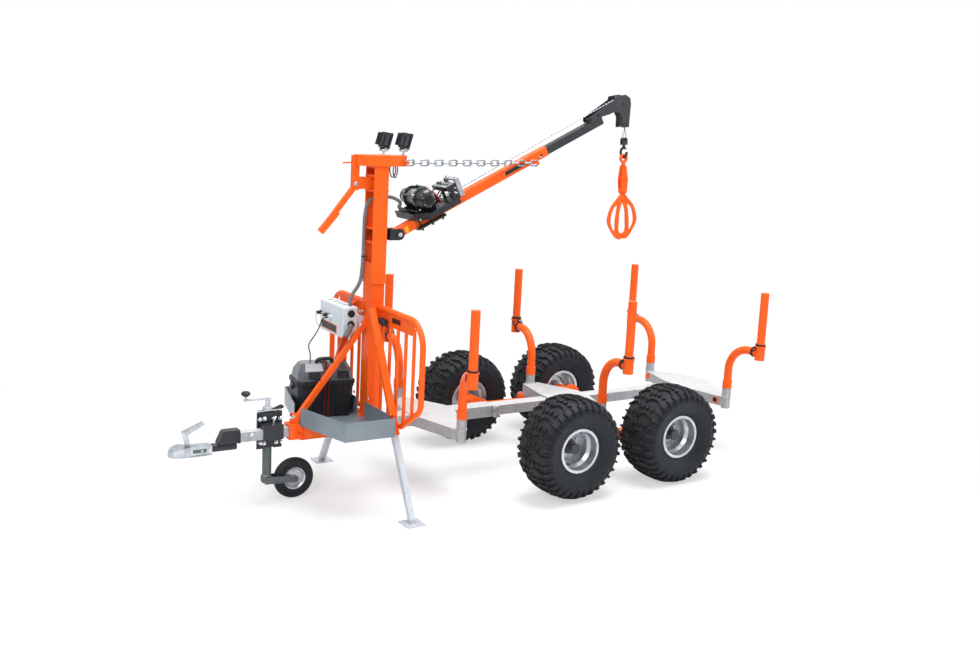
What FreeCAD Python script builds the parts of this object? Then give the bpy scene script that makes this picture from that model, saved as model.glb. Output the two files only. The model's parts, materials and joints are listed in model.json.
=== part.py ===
"""Forestry trailer with a winch crane, built as separate named pieces.

Working frame, in millimetres: X points forward to the hitch, Y to the left and Z up. The origin
is below the middle of the bogie, AXLE_Z under the wheel spindles. Each piece is moved at the end
so that the origin is the centre of the ball socket.

The trailer stands with its nose a little up, on four wheels, two prop legs and a jockey wheel.
The boom is modelled level, pointing to the rear from its pivot, and is then raised to its angle.
"""
import math
import os

import FreeCAD, Part

V = FreeCAD.Vector
X_AXIS = V(1, 0, 0)
Y_AXIS = V(0, 1, 0)
Z_AXIS = V(0, 0, 1)
SIDES = (("left", 1), ("right", -1))
PIECES = {}

# ---------------------------------------------------------------- fits
PIN_GAP = 0.05            # radial gap of a running pin
SLIDE_GAP = 0.4           # gap round a tube that telescopes in another

# ---------------------------------------------------------------- wheels
AXLE_Z = 279.5
TYRE_R = 279.5
TYRE_WIDTH = 276.0
LUG_HEIGHT = 10.5
LUG_COUNT = 18            # in each of the tread's two rows
WHEEL_BASE = 700.0
TRACK = 1160.0
RIM_SEAT_R = 112.0
RIM_FLANGE_R = 122.7
RIM_WIDTH = 207.0
RIM_WELL_R = 98.0
RIM_SHEET = 4.0
RIM_DISC_Y = -18.0        # outer face of the rim's disc, from the wheel's middle
SPINDLE_R = 15.0
HUB_R = 41.0
HUB_CAP_R = 27.0
HUB_CAP_Y = 60.0
NOSE_UP = 0.94            # degrees by which the ground falls away under the frame

# ---------------------------------------------------------------- running gear
BOGIE_GAP = 20.0          # between tyre and bogie beam
BOGIE_WIDTH = 50.0
BOGIE_HEIGHT = 50.0
BOGIE_DROP = 8.0          # of the bar's top below the spindles
BOGIE_END_RISE = 48.0
BOGIE_PIVOT_R = 27.0
AXLE_SIZE = 50.0
AXLE_WALL = 5.0
AXLE_PIN_R = 20.0

# ---------------------------------------------------------------- main beam and bunks
BEAM_Z = 355.0
FRONT_BEAM_WIDTH = 100.0
FRONT_BEAM_HEIGHT = 64.0
BEAM_WALL = 4.0
FRONT_BEAM_X = (500.0, 1640.0)
REAR_BEAM_WIDTH = 90.0
REAR_BEAM_HEIGHT = 55.0
REAR_BEAM_X = (-1150.0, 640.0)
CLAMP_EAR = 26.0
BUNK_X = {"front": 907.0, "middle": -23.0, "rear": -991.0}
BUNK_TOP_Z = 391.0
BUNK_FALL = 15.0          # the top's drop from the beam to the sockets
BUNK_DEPTH = 62.0
BUNK_END_DEPTH = {"front": 57.0, "middle": 69.0, "rear": 57.0}
BUNK_END_HALF = {"front": 30.0, "middle": 54.0, "rear": 30.0}
BUNK_HALF_WIDTH = 137.0
BUNK_SHEET = 4.0
SOCKET_Y = 366.0
SOCKET_WALL = 3.2
SOCKET_Z = (307.0, 433.0)

# ---------------------------------------------------------------- stakes
STAKE_R = 24.15
STAKE_COLLAR_R = 28.5
STAKE_COLLAR_HEIGHT = 46.0
STAKE_OFFSET = 233.0
STAKE_ARM_Z = 699.0
STAKE_BEND_R = 150.0
STAKE_TOP_Z = 1062.0
TEE_R = 29.0
TEE_Z = (657.0, 744.0)
TEE_RING_R = 33.0
TEE_RING_HEIGHT = 9.0
STAKE_TURN = {"front_left": 20.0, "front_right": -9.0, "middle_left": 4.0, "rear_left": -4.0,
              "middle_right": -6.0}

# ---------------------------------------------------------------- crane base, tray and headboard
BASE_X = (1205.0, 1690.0)
BASE_WALL = 4.0
NOSE_X = (1687.0, 1742.0)
NOSE_HALF = 39.0
NOSE_Z = (320.0, 400.0)
DRAWBAR_SIZE = 50.0
DRAWBAR_WALL = 4.0
DRAWBAR_Z = 360.0
DRAWBAR_X = (1645.0, 2001.0)
NECK_Z = 317.0
NECK_X = (2017.0, 2145.0)
NECK_R = 22.0
NECK_PIN_R = 18.0
BALL_X = 2316.0
BALL_Z = 305.0
SOCKET_BALL_R = 25.5
COUPLER_HALF = 31.0
COUPLER_NOSE_R = 46.0
JOCKEY_X = 1826.0
JOCKEY_Y = -61.0
JOCKEY_TUBE_R = 24.0
JOCKEY_SLIDE_R = 20.0
JOCKEY_TUBE_Z = (118.0, 470.0)
JOCKEY_TRAIL = 150.0
JOCKEY_WHEEL_R = 110.0
JOCKEY_WHEEL_WIDTH = 46.0
JOCKEY_RIM_R = 60.0
JOCKEY_PIN_R = 8.0
TRAY_REAR_X = 1320.0
TRAY_SHOULDER_X = 1597.0
TRAY_TIP_X = 1697.0
TRAY_HALF = 400.0
TRAY_HEIGHT = 98.0
TRAY_SHEET = 3.0
TRAY_SLOT_HALF = 46.0
HEADBOARD_X = 1255.0
HEADBOARD_R = 15.0
HEADBOARD_HALF = 540.0
HEADBOARD_TOP_Z = 998.0
HEADBOARD_BOTTOM_Z = 418.0
HEADBOARD_FOOT_HALF = 335.0
HEADBOARD_SHOULDER_Z = 552.0
HEADBOARD_TOP_BEND = 135.0
HEADBOARD_FOOT_BEND = 70.0
HEADBOARD_PANEL = 82.0
HEADBOARD_BAR_R = 9.0
HEADBOARD_BAR_Y = 96.0
HEADBOARD_BAR_PITCH = 88.0
HEADBOARD_BAR_COUNT = 5
NOSE_LUG = 22.0
NOSE_LUG_HALF = 13.0
BATTERY_PLACE = (1491.0, -140.0)
BATTERY_TURN = -8.0
BATTERY_SIZE = (304.0, 184.0)
BATTERY_RIM_Z = 573.0
BATTERY_BAND = 22.0
BATTERY_TOP_Z = 681.0
CONTROL_X = (1347.0, 1435.0)
CONTROL_Y = (-312.0, -19.0)
CONTROL_Z = (825.0, 992.0)
LEG_X = 1291.0
LEG_SIZE = 30.0
LEG_WALL = 3.0
LEG_FOOT_Y = 565.0
LEG_TOP = (300.0, 452.0)  # Y and Z of the leg's upper end
LEG_SLEEVE_WALL = 4.5
LEG_SLEEVE_LENGTH = 85.0
LEG_FOOT_SIZE = 106.0
LEG_FOOT_SHEET = 5.0

# ---------------------------------------------------------------- mast and crane head
MAST_X = (1228.0, 1310.0)
MAST_HALF = 43.0
MAST_WALL = 4.0
CHANNEL_HALF = 52.0
CHANNEL_PLATE = 5.0
LUFF_X = 1143.0
LUFF_Z = 1379.0
CHANNEL_Z = LUFF_Z - 253
CHANNEL_OPEN_Z = LUFF_Z - 144
MAST_TOP_Z = LUFF_Z + 358
SHELF = 10.0
SHELF_OUT = 5.0
BRACE_WIDTH = 30.0
BRACE_TOP_Z = 912.0
SIDE_BRACE_WIDTH = 22.0
SIDE_BRACE_DEPTH = 38.0
SIDE_BRACE_TOP = (102.0, 1003.0)  # Y and Z
SIDE_BRACE_X = 1326.0
SIDE_BRACE_FOOT_Y = 378.0
SLEW_X = 1269.0
SLEW_PIN_R = 12.0
SLEW_BARREL_R = 20.0
CLEVIS_HEIGHT = 62.0
LEVER_Z = (LUFF_Z + 238, LUFF_Z + 301)
HEAD_FRONT_X = 1395.0
LEVER_ELBOW = (97.0, -117.0)   # X from the head's front, Z from the lever's barrel
LEVER_END = (183.0, -216.0)
HEAD_REAR_X = 1112.0
HEAD_HEIGHT = 56.0
HEAD_SHEET = 5.0
LAMP_X = (1237.0, 1121.0)
LAMP_TILT = 16.0

# ---------------------------------------------------------------- boom, from its pivot
LUFF_PIN_R = 10.0
BOOM_ANGLE = 26.1
BOOM_LIFT = 6.0           # the boom's axis above its pivot
BOOM_SIZE = 50.0
BOOM_WALL = 2.5
BOOM_REACH = (-30.0, 1030.0)
INNER_REACH = (800.0, 1453.0)
INNER_WALL = 2.5
PULLEY_R = 46.0
PULLEY_REACH = INNER_REACH[1] + 172
PULLEY_LIFT = 33.0
CHAIN_EYE = (928.0, -20.0)
CHAIN_Y = 45.0
CHAIN_Z = MAST_TOP_Z + 22
CHAIN_WIRE = 8.5
CHAIN_PITCH = 44.0
CHAIN_WIDTH = 38.0
CHAIN_PIN_R = 3.7
ROPE_R = 2.5
WINCH_REACH = 190.0
WINCH_LIFT = 122.0
TRAY_DECK = 5.0           # the winch tray's sheet
WINCH_SHAFT_R = 14.0
WINCH_TRAY_REACH = (102.0, 350.0)
WINCH_TRAY_CHAMFER = 88.0
WINCH_TRAY_HALF = 150.0
PULLEY_HALF = 9.0
CHEEK_Y = (26.0, 32.0)    # inner and outer face of a boom head cheek
GUIDE_REACH = 403.0
GUIDE_DEPTH = 28.0        # of the roller frame along the boom
GUIDE_TOP = 136.0
GUIDE_ROLLER_Y = (-22.0, 69.0)
RELAY_REACH = (322.0, 386.0)
RELAY_Y = (-72.0, 86.0)
RELAY_LIFT = (100.0, 121.0)
RELAY_ROUND = 8.0
GUIDE_LIFT = 54.0         # height at which the rope passes the roller
ROLLER_R = 12.0
PULLEY_GROOVE = 8.0       # depth of the pulley's groove
DRUM_R = 36.0
ROPE_DROP = 140.0         # from the pulley's middle to the rope's end

# ---------------------------------------------------------------- hook and tongs
HANGER_EYE_R = 27.0
HANGER_EYE_BORE = 15.0
HANGER_DROP = 193.0       # from the eye's middle down to the jaws' pivot
HOOK_PIN_R = 6.0
HOOK_PIN_DROP = 69.0      # from the rope's end down to the hook's pin
HOOK_RING_DROP = 76.0     # from the pin down to the middle of the hook
HOOK_BOW_R = 27.5
HOOK_WIRE_R = 7.5
THIMBLE_R = 9.5
HANG_LEAN = 3.0           # degrees by which the hook's foot lies to the rear
TONGS_PIN_R = 9.0
TONGS_SHEET = 12.0        # thickness of a jaw
CONDUIT_R = 9.5
CONDUIT_Y = 20.0          # to the right of the middle, through the channel
LEAD_R = 3.0




# ---------------------------------------------------------------- helpers
def box(x0, x1, y0, y1, z0, z1):
    """A block between six faces."""
    return Part.makeBox(x1 - x0, y1 - y0, z1 - z0, V(x0, y0, z0))


def rod(a, b, radius):
    """A round bar from point a to point b."""
    run = b - a
    return Part.makeCylinder(radius, run.Length, a, run)


def pipe(a, b, outer, inner):
    """A round tube from point a to point b."""
    return rod(a, b, outer).cut(rod(a, b, inner))


def joined(*shapes):
    """The shapes as one solid where they meet, without inner seams."""
    first, rest = shapes[0], list(shapes[1:])
    return first.fuse(rest).removeSplitter() if rest else first


def apart(shapes):
    """Solids that do not touch, held in one piece."""
    return Part.makeCompound(list(shapes))


def plate(points, thickness):
    """A flat plate from its straight outline, pushed along the thickness vector."""
    wire = Part.makePolygon(points + [points[0]])
    return Part.Face(wire).extrude(thickness)


def sheet_y(outline, y0, y1):
    """A plate across the trailer from its (x, z) outline, between two Y faces."""
    return plate([V(x, y0, z) for x, z in outline], V(0, y1 - y0, 0))


def sheet_z(outline, z0, z1):
    """A level plate from its (x, y) outline, between two heights."""
    return plate([V(x, y, z0) for x, y in outline], V(0, 0, z1 - z0))


def curve(points):
    """A smooth edge through the points."""
    spline = Part.BSplineCurve()
    spline.interpolate(points)
    return spline.toShape()


def framed(shape, origin, along, side):
    """The shape moved so that its X runs along one vector and its Y along another."""
    u = V(along).normalize()
    n = u.cross(side).normalize()
    s = n.cross(u)
    matrix = FreeCAD.Matrix(
        u.x, s.x, n.x, origin.x,
        u.y, s.y, n.y, origin.y,
        u.z, s.z, n.z, origin.z,
        0, 0, 0, 1)
    return placed(shape, FreeCAD.Placement(matrix))


def placed(shape, placement):
    """A copy of the shape at another place."""
    copy = shape.copy()
    copy.Placement = placement.multiply(copy.Placement)
    return copy


def bar(a, b, width, height, wall=0.0, side=Y_AXIS):
    """A square bar or tube from a to b; width lies along the side vector."""
    length = (b - a).Length
    shape = box(0, length, -width / 2, width / 2, -height / 2, height / 2)
    if wall:
        w, h = width / 2 - wall, height / 2 - wall
        shape = shape.cut(box(-1, length + 1, -w, w, -h, h))
    return framed(shape, a, b - a, side)


def beam_x(x_range, z, width, height, wall):
    """A square tube along X about the trailer's middle."""
    return bar(V(x_range[0], 0, z), V(x_range[1], 0, z), width, height, wall)


def path_wire(points, radius):
    """A wire along the points with its corners rounded."""
    edges = []
    start = points[0]
    for before, corner, after in zip(points, points[1:], points[2:]):
        u = (before - corner).normalize()
        w = (after - corner).normalize()
        half = u.getAngle(w) / 2
        back = radius / math.tan(half)
        p, q = corner + u * back, corner + w * back
        middle = corner + (u + w).normalize() * (radius / math.sin(half) - radius)
        if (p - start).Length > 0.01:
            edges.append(Part.makeLine(start, p))
        edges.append(Part.Arc(p, middle, q).toShape())
        start = q
    if (points[-1] - start).Length > 0.01:
        edges.append(Part.makeLine(start, points[-1]))
    return Part.Wire(edges)


def bent_rod(points, radius, bend):
    """A round bar bent along the points."""
    wire = path_wire(points, bend)
    circle = Part.Circle(points[0], points[1] - points[0], radius).toShape()
    return wire.makePipeShell([Part.Wire([circle])], True, True)


def cable(points, radius):
    """A round cable through the points, each turn as wide as its two runs allow."""
    edges = []
    start = points[0]
    for before, corner, after in zip(points, points[1:], points[2:]):
        back = 0.45 * min((before - corner).Length, (after - corner).Length)
        u = (before - corner).normalize()
        w = (after - corner).normalize()
        half = u.getAngle(w) / 2
        bend = back * math.tan(half)
        p, q = corner + u * back, corner + w * back
        middle = corner + (u + w).normalize() * (bend / math.sin(half) - bend)
        edges.append(Part.makeLine(start, p))
        edges.append(Part.Arc(p, middle, q).toShape())
        start = q
    edges.append(Part.makeLine(start, points[-1]))
    circle = Part.Circle(points[0], points[1] - points[0], radius).toShape()
    return Part.Wire(edges).makePipeShell([Part.Wire([circle])], True, True)


def spun(points, origin, axis):
    """A solid turned about an axis, from (radius, along) points."""
    u = V(axis).normalize()
    side = u.cross(Z_AXIS) if abs(u.z) < 0.9 else u.cross(X_AXIS)
    side.normalize()
    outline = [origin + side * r + u * a for r, a in points]
    face = Part.Face(Part.makePolygon(outline + [outline[0]]))
    return face.revolve(origin, u, 360)


def ground_z(x):
    """Height of the ground under the frame at x."""
    return AXLE_Z - TYRE_R - x * math.tan(math.radians(NOSE_UP))


def add(name, shape):
    """Keep a finished piece under its name."""
    PIECES[name] = shape


# ---------------------------------------------------------------- wheels
def tyre_section(lift):
    """Half of the tyre's outer section from shoulder to crown, as (radius, along) points."""
    h, r = TYRE_WIDTH / 2, TYRE_R - LUG_HEIGHT + lift
    return [(r - 22, h - 20), (r - 6, h - 46), (r, h - 84)]


def lug(side):
    """One arched lug across half of the tread, at the tyre's top."""
    h = TYRE_WIDTH / 2
    outline = [(-14, 8), (13, 4), (30, 45), (24, 80), (27, h - 32), (24, h - 8), (-25, h - 8), (-20, h - 34),
               (-9, 78), (-4, 47)]
    foot = TYRE_R - LUG_HEIGHT - 44
    prism = plate([V(x, side * y, foot) for x, y in outline], V(0, 0, TYRE_R))
    top = [(foot, h - 6)] + tyre_section(LUG_HEIGHT)
    ring = [(foot, 0)] + [(a, side * b) for a, b in top] + [(TYRE_R, 0)]
    return prism.common(spun(ring, V(0, 0, 0), Y_AXIS))


def tyre_blank():
    """A wide tyre about the Y axis, with two rows of lugs set half a pitch apart."""
    h = TYRE_WIDTH / 2
    bead = RIM_WIDTH / 2 - RIM_SHEET - 1.0
    seat = RIM_SEAT_R + 0.4
    half = [(seat, bead), (RIM_FLANGE_R + 1, bead), (RIM_FLANGE_R + 6, bead + 9), (150, h - 16), (178, h - 3),
            (205, h), (232, h - 6)] + tyre_section(0)
    outline = [(a, -b) for a, b in half] + [(a, b) for a, b in reversed(half)]
    carcass = spun(outline, V(0, 0, 0), Y_AXIS)
    pitch = 360.0 / LUG_COUNT
    lugs = []
    for row, (_, side) in enumerate(SIDES):
        first = lug(side)
        for i in range(LUG_COUNT):
            turn = FreeCAD.Rotation(Y_AXIS, (i + row / 2) * pitch)
            lugs.append(placed(first, FreeCAD.Placement(V(0, 0, 0), turn)))
    return carcass.fuse(lugs)


def rim(centre, outward):
    """A stepped steel rim with its deep disc and hub, turning on the spindle."""
    edge, s = RIM_WIDTH / 2, RIM_SHEET
    seat, lip, well = RIM_SEAT_R, RIM_FLANGE_R, RIM_WELL_R
    disc = RIM_DISC_Y
    back = disc - s
    bore = SPINDLE_R + PIN_GAP
    hub_back, hub_face = -62.0, disc + 12
    pin_end, cap_edge = 38.0, 4.0
    seat_inner = seat - s
    well_inner = well - s
    outline = [
        (lip, edge), (lip, edge - s), (seat, edge - s), (seat, 50), (well, 32), (well, -60), (seat, -76),
        (seat, -edge + s), (lip, -edge + s), (lip, -edge), (seat_inner, -edge), (seat_inner, -78),
        (well_inner, -62), (well_inner, back), (74, back), (66, back + 9), (HUB_R, back + 9),
        (HUB_R, hub_back), (bore, hub_back), (bore, pin_end), (0.0, pin_end), (0.0, HUB_CAP_Y),
        (HUB_CAP_R - cap_edge, HUB_CAP_Y), (HUB_CAP_R, HUB_CAP_Y - cap_edge), (HUB_CAP_R, hub_face + 9),
        (HUB_R, hub_face + 9), (HUB_R, disc + 9), (70, disc + 9), (78, disc), (well_inner, disc),
        (well_inner, 34), (seat_inner, 52), (seat_inner, edge)]
    return spun(outline, centre, Y_AXIS * outward)


def make_wheels():
    """Four wheels, each a tyre and a rim."""
    blank = tyre_blank()
    for end, x in (("front", WHEEL_BASE / 2), ("rear", -WHEEL_BASE / 2)):
        for name, side in SIDES:
            centre = V(x, side * TRACK / 2, AXLE_Z)
            facing = FreeCAD.Rotation(Z_AXIS, 0 if side > 0 else 180)
            add("tyre_%s_%s" % (end, name), placed(blank, FreeCAD.Placement(centre, facing)))
            add("rim_%s_%s" % (end, name), rim(centre, side))


# ---------------------------------------------------------------- running gear
def bogie_middle():
    """Distance of a bogie beam from the trailer's middle."""
    return TRACK / 2 - TYRE_WIDTH / 2 - BOGIE_GAP - BOGIE_WIDTH / 2


def bogie_profile():
    """The beam's outline from its pivot: a low bar with raised ends that carry the spindles."""
    base, top = WHEEL_BASE / 2, -BOGIE_DROP
    low = top - BOGIE_HEIGHT
    rear_half = [(-base - 60, 24), (-base - 28, BOGIE_END_RISE), (-base + 104, top)]
    return ([(-base + 40, low), (base - 40, low), (base + 40, -40), (base + 60, -14)]
            + [(-x, z) for x, z in rear_half] + rear_half[::-1] + [(-base - 60, -14), (-base - 40, -40)])


def bogie(side):
    """A rocking beam, its pivot tube and two wheel spindles."""
    middle = bogie_middle()
    y0, y1 = side * (middle - BOGIE_WIDTH / 2), side * (middle + BOGIE_WIDTH / 2)
    base = WHEEL_BASE / 2
    outline = [(x, AXLE_Z + z) for x, z in bogie_profile()]
    beam = sheet_y(outline, min(y0, y1), max(y0, y1))
    inner, outer = V(0, y0 - side * 7, AXLE_Z), V(0, y1 + side * 7, AXLE_Z)
    beam = beam.fuse(rod(inner, outer, BOGIE_PIVOT_R))
    for x in (-base, base):
        tip = V(x, side * (TRACK / 2 + 37), AXLE_Z)
        beam = beam.fuse(rod(V(x, y0, AXLE_Z), tip, SPINDLE_R))
        beam = beam.fuse(rod(V(x, y1, AXLE_Z), V(x, side * (TRACK / 2 - 68), AXLE_Z), 30))
    return beam.cut(rod(inner, outer, AXLE_PIN_R + PIN_GAP)).removeSplitter()


def make_bogies():
    """Two rocking beams, and the axle under the main beam that carries them."""
    add("bogie_beams", apart([bogie(side) for _, side in SIDES]))
    half = AXLE_SIZE / 2
    reach = bogie_middle() - BOGIE_WIDTH / 2 - 10
    axle = bar(V(0, -reach, AXLE_Z), V(0, reach, AXLE_Z), AXLE_SIZE, AXLE_SIZE, AXLE_WALL, X_AXIS)
    beam_bottom = BEAM_Z - REAR_BEAM_HEIGHT / 2
    seat = REAR_BEAM_WIDTH / 2
    axle = axle.fuse(box(-half, half, -seat, seat, AXLE_Z + half, beam_bottom))
    for _, side in SIDES:
        washer = side * (bogie_middle() + BOGIE_WIDTH / 2 + 8)
        axle = axle.fuse(rod(V(0, side * (reach - 50), AXLE_Z), V(0, washer, AXLE_Z), AXLE_PIN_R))
        axle = axle.fuse(rod(V(0, washer, AXLE_Z), V(0, washer + side * 6, AXLE_Z), BOGIE_PIVOT_R))
        y0, y1 = sorted((side * (reach - 14), side * reach))
        axle = axle.fuse(box(-half + 1, half - 1, y0, y1, AXLE_Z - half + 1, AXLE_Z + half - 1))
    add("cross_axle", axle.removeSplitter())


# ---------------------------------------------------------------- main beam
def make_main_beam():
    """The telescopic beam in two lengths, clamped where they meet."""
    front = beam_x(FRONT_BEAM_X, BEAM_Z, FRONT_BEAM_WIDTH, FRONT_BEAM_HEIGHT, BEAM_WALL)
    x = FRONT_BEAM_X[0]
    w, h = FRONT_BEAM_WIDTH / 2, FRONT_BEAM_HEIGHT / 2
    ears = box(x, x + 12, w - 1, w + CLAMP_EAR, BEAM_Z - h, BEAM_Z + h)
    ear_start = REAR_BEAM_WIDTH / 2 + SLIDE_GAP
    ears = ears.fuse(box(x - 16, x - 4, ear_start, w + CLAMP_EAR, BEAM_Z - h, BEAM_Z + h))
    for z in (BEAM_Z - 16, BEAM_Z + 16):
        a, b = V(x - 24, w + 13, z), V(x + 20, w + 13, z)
        ears = ears.fuse([rod(a, b, 6), rod(a, V(x - 16, a.y, z), 10), rod(V(x + 12, a.y, z), b, 10)])
    add("main_beam_front", joined(front, ears))
    add("main_beam_rear", beam_x(REAR_BEAM_X, BEAM_Z, REAR_BEAM_WIDTH, REAR_BEAM_HEIGHT, BEAM_WALL))


def socket_radius():
    """Outer radius of a stake socket."""
    return STAKE_R + PIN_GAP + SOCKET_WALL


def bunk_solid(name, inset, drop):
    """The bunk's outer form, drawn in by the inset and lowered by the drop."""
    c, e = BUNK_HALF_WIDTH - inset, BUNK_END_HALF[name] - inset
    k, end = REAR_BEAM_WIDTH / 2 + 10, SOCKET_Y - inset
    x = BUNK_X[name]
    plan = [(c, -k), (c, k), (e, end), (-e, end), (-c, k), (-c, -k), (-e, -end), (e, -end)]
    top, low = BUNK_TOP_Z - drop, BUNK_TOP_Z - BUNK_DEPTH - drop
    end_top, end_low = top - BUNK_FALL, top - BUNK_FALL - BUNK_END_DEPTH[name]
    full = sheet_z([(x + a, b) for a, b in plan], low - 200, top + 50)
    profile = [V(x - c - 1, y, z) for y, z in (
        (-end, end_low), (-k, low), (k, low), (end, end_low),
        (end, end_top), (k, top), (-k, top), (-end, end_top))]
    return full.common(plate(profile, V(2 * c + 2, 0, 0)))


def bunk(name, beam_width, beam_height):
    """A folded cross bunk, wide at the beam, with a stake socket at either end."""
    x = BUNK_X[name]
    shell = bunk_solid(name, 0, 0).cut(bunk_solid(name, BUNK_SHEET, BUNK_SHEET))
    open_low = bunk_solid(name, BUNK_SHEET, BUNK_SHEET + 30)
    shell = shell.cut(open_low)
    half = beam_width / 2 + SLIDE_GAP
    roof = BEAM_Z + beam_height / 2
    shell = shell.cut(box(x - 200, x + 200, -half, half, 0, roof))
    for _, side in SIDES:
        a, b = V(x, side * SOCKET_Y, SOCKET_Z[0]), V(x, side * SOCKET_Y, SOCKET_Z[1])
        shell = shell.fuse(rod(a, b, socket_radius())).cut(rod(a, b, STAKE_R + PIN_GAP))
    return shell.removeSplitter()


def make_bunks():
    """Three bunks across the beam."""
    front = (FRONT_BEAM_WIDTH, FRONT_BEAM_HEIGHT)
    rear = (REAR_BEAM_WIDTH, REAR_BEAM_HEIGHT)
    for name, size in (("front", front), ("middle", rear), ("rear", rear)):
        add("bunk_" + name, bunk(name, *size))


# ---------------------------------------------------------------- stakes
def stake(x, side, turn):
    """A swivelling stake: bent arm in its socket, tee and post."""
    out = side * STAKE_OFFSET

    def at(dy, z):
        return V(x, side * SOCKET_Y + dy, z)

    foot_z, rest_z = SOCKET_Z[0] + 8, SOCKET_Z[1] + 1
    arm = bent_rod([at(0, foot_z), at(0, STAKE_ARM_Z), at(out, STAKE_ARM_Z)], STAKE_R, STAKE_BEND_R)
    collar = rod(at(0, rest_z), at(0, rest_z + STAKE_COLLAR_HEIGHT), STAKE_COLLAR_R)
    tee = rod(at(out, TEE_Z[0]), at(out, TEE_Z[1]), TEE_R)
    ring = rod(at(out, TEE_Z[1] - TEE_RING_HEIGHT), at(out, TEE_Z[1]), TEE_RING_R)
    post = rod(at(out, TEE_Z[1] - 5), at(out, STAKE_TOP_Z), STAKE_R)
    whole = joined(arm, collar, tee, ring, post)
    whole.rotate(at(0, 0), Z_AXIS, -side * turn)
    return whole


def make_stakes():
    """Six stakes, turned as they stand."""
    for end, x in BUNK_X.items():
        for name, side in SIDES:
            key = "%s_%s" % (end, name)
            add("stake_" + key, stake(x, side, STAKE_TURN.get(key, 0.0)))


# ---------------------------------------------------------------- crane base, tray, headboard, legs
def base_half():
    """Half width and half height of the crane base tube."""
    grow = SLIDE_GAP + BASE_WALL
    return FRONT_BEAM_WIDTH / 2 + grow, FRONT_BEAM_HEIGHT / 2 + grow


def base_top():
    """Height of the crane base's top, on which mast and tray stand."""
    return BEAM_Z + base_half()[1]


def leg_ends(side):
    """Foot and upper end of a prop leg."""
    foot = V(LEG_X, side * LEG_FOOT_Y, ground_z(LEG_X) + LEG_FOOT_SHEET)
    return foot, V(LEG_X, side * LEG_TOP[0], LEG_TOP[1])


def leg_sleeve(side):
    """The sleeve that a prop leg slides in, with its arm to the mast."""
    foot, top = leg_ends(side)
    along = (top - foot).normalize()
    size = LEG_SIZE + 2 * (SLIDE_GAP + LEG_SLEEVE_WALL)
    bore = LEG_SIZE + 2 * SLIDE_GAP
    low, high = top - along * LEG_SLEEVE_LENGTH, top - along * 3
    sleeve = bar(low, high, size, size, side=X_AXIS)
    middle = (low + high) * 0.5
    y0, y1 = sorted((side * (base_half()[0] - 1), middle.y))
    arm = box(LEG_X - 12, LEG_X + 12, y0, y1, BEAM_Z + 12, base_top() + 16)
    return sleeve.fuse(arm).cut(bar(foot, top + along * 60, bore, bore, side=X_AXIS))


def make_crane_base():
    """The tube that joins main beam and drawbar, with the nose clamp and the leg sleeves."""
    w, h = base_half()
    base = beam_x(BASE_X, BEAM_Z, 2 * w, 2 * h, BASE_WALL)
    shut = box(BASE_X[1] - 8, BASE_X[1], -w, w, BEAM_Z - h, BEAM_Z + h)
    nose = box(NOSE_X[0], NOSE_X[1], -NOSE_HALF, NOSE_HALF, *NOSE_Z)
    fit = DRAWBAR_SIZE / 2 + SLIDE_GAP
    bore = box(BASE_X[0], NOSE_X[1] + 1, -fit, fit, DRAWBAR_Z - fit, DRAWBAR_Z + fit)
    lug = box(NOSE_X[0], NOSE_X[0] + 37, -NOSE_LUG_HALF, NOSE_LUG_HALF, NOSE_Z[1] - 1, NOSE_Z[1] + NOSE_LUG)
    whole = joined(base, shut, nose, lug).cut(bore)
    for z in (DRAWBAR_Z - 20, DRAWBAR_Z + 20):
        a = V(BASE_X[1] - 22, NOSE_HALF + 16, z)
        bolt = rod(a, V(NOSE_X[0] + 2, a.y, z), 5.5).fuse(rod(a, a + V(9, 0, 0), 9.5))
        ear = box(NOSE_X[0] + 1, NOSE_X[0] + 12, NOSE_HALF - 1, NOSE_HALF + 27, z - 15, z + 15)
        whole = whole.fuse([bolt, ear])
    for _, side in SIDES:
        whole = whole.fuse(leg_sleeve(side))
    add("crane_base", whole.removeSplitter())


def make_legs():
    """Two splayed prop legs with foot plates."""
    half = LEG_FOOT_SIZE / 2
    for name, side in SIDES:
        foot, top = leg_ends(side)
        leg = bar(foot, top, LEG_SIZE, LEG_SIZE, LEG_WALL, X_AXIS)
        low = ground_z(LEG_X)
        pad = box(LEG_X - half, LEG_X + half, foot.y - half, foot.y + half, low, low + LEG_FOOT_SHEET)
        stem = box(LEG_X - 12, LEG_X + 12, foot.y - 14, foot.y + 14, low + 2, low + 26)
        add("support_leg_" + name, joined(leg, pad, stem))


def tray_solid(inset, low, high):
    """The tray's plan between two heights, drawn in by the inset."""
    h = TRAY_HALF - inset
    slope = (TRAY_TIP_X - TRAY_SHOULDER_X) / TRAY_HALF
    tip = NOSE_HALF + 3
    x_tip = TRAY_TIP_X - tip * slope - inset * 1.03
    x_shoulder = TRAY_SHOULDER_X - inset * 0.8
    outline = [(TRAY_REAR_X + inset, -h), (x_shoulder, -h), (x_tip, -tip), (x_tip, tip), (x_shoulder, h),
               (TRAY_REAR_X + inset, h)]
    return sheet_z(outline, low, high)


def make_tray():
    """The open sheet tray for the battery, pointed to the front."""
    low, high = base_top(), base_top() + TRAY_HEIGHT
    shape = tray_solid(0, low, high).cut(tray_solid(TRAY_SHEET, low + TRAY_SHEET, high + 1))
    slot = TRAY_SLOT_HALF
    shape = shape.cut(box(TRAY_REAR_X - 1, TRAY_REAR_X + 5, -slot, slot, low + TRAY_SHEET, high + 1))
    front = NOSE_HALF + 4
    shape = shape.cut(box(TRAY_SHOULDER_X, TRAY_TIP_X + 1, -front, front, low + TRAY_SHEET, high + 1))
    add("battery_tray", shape)


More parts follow.
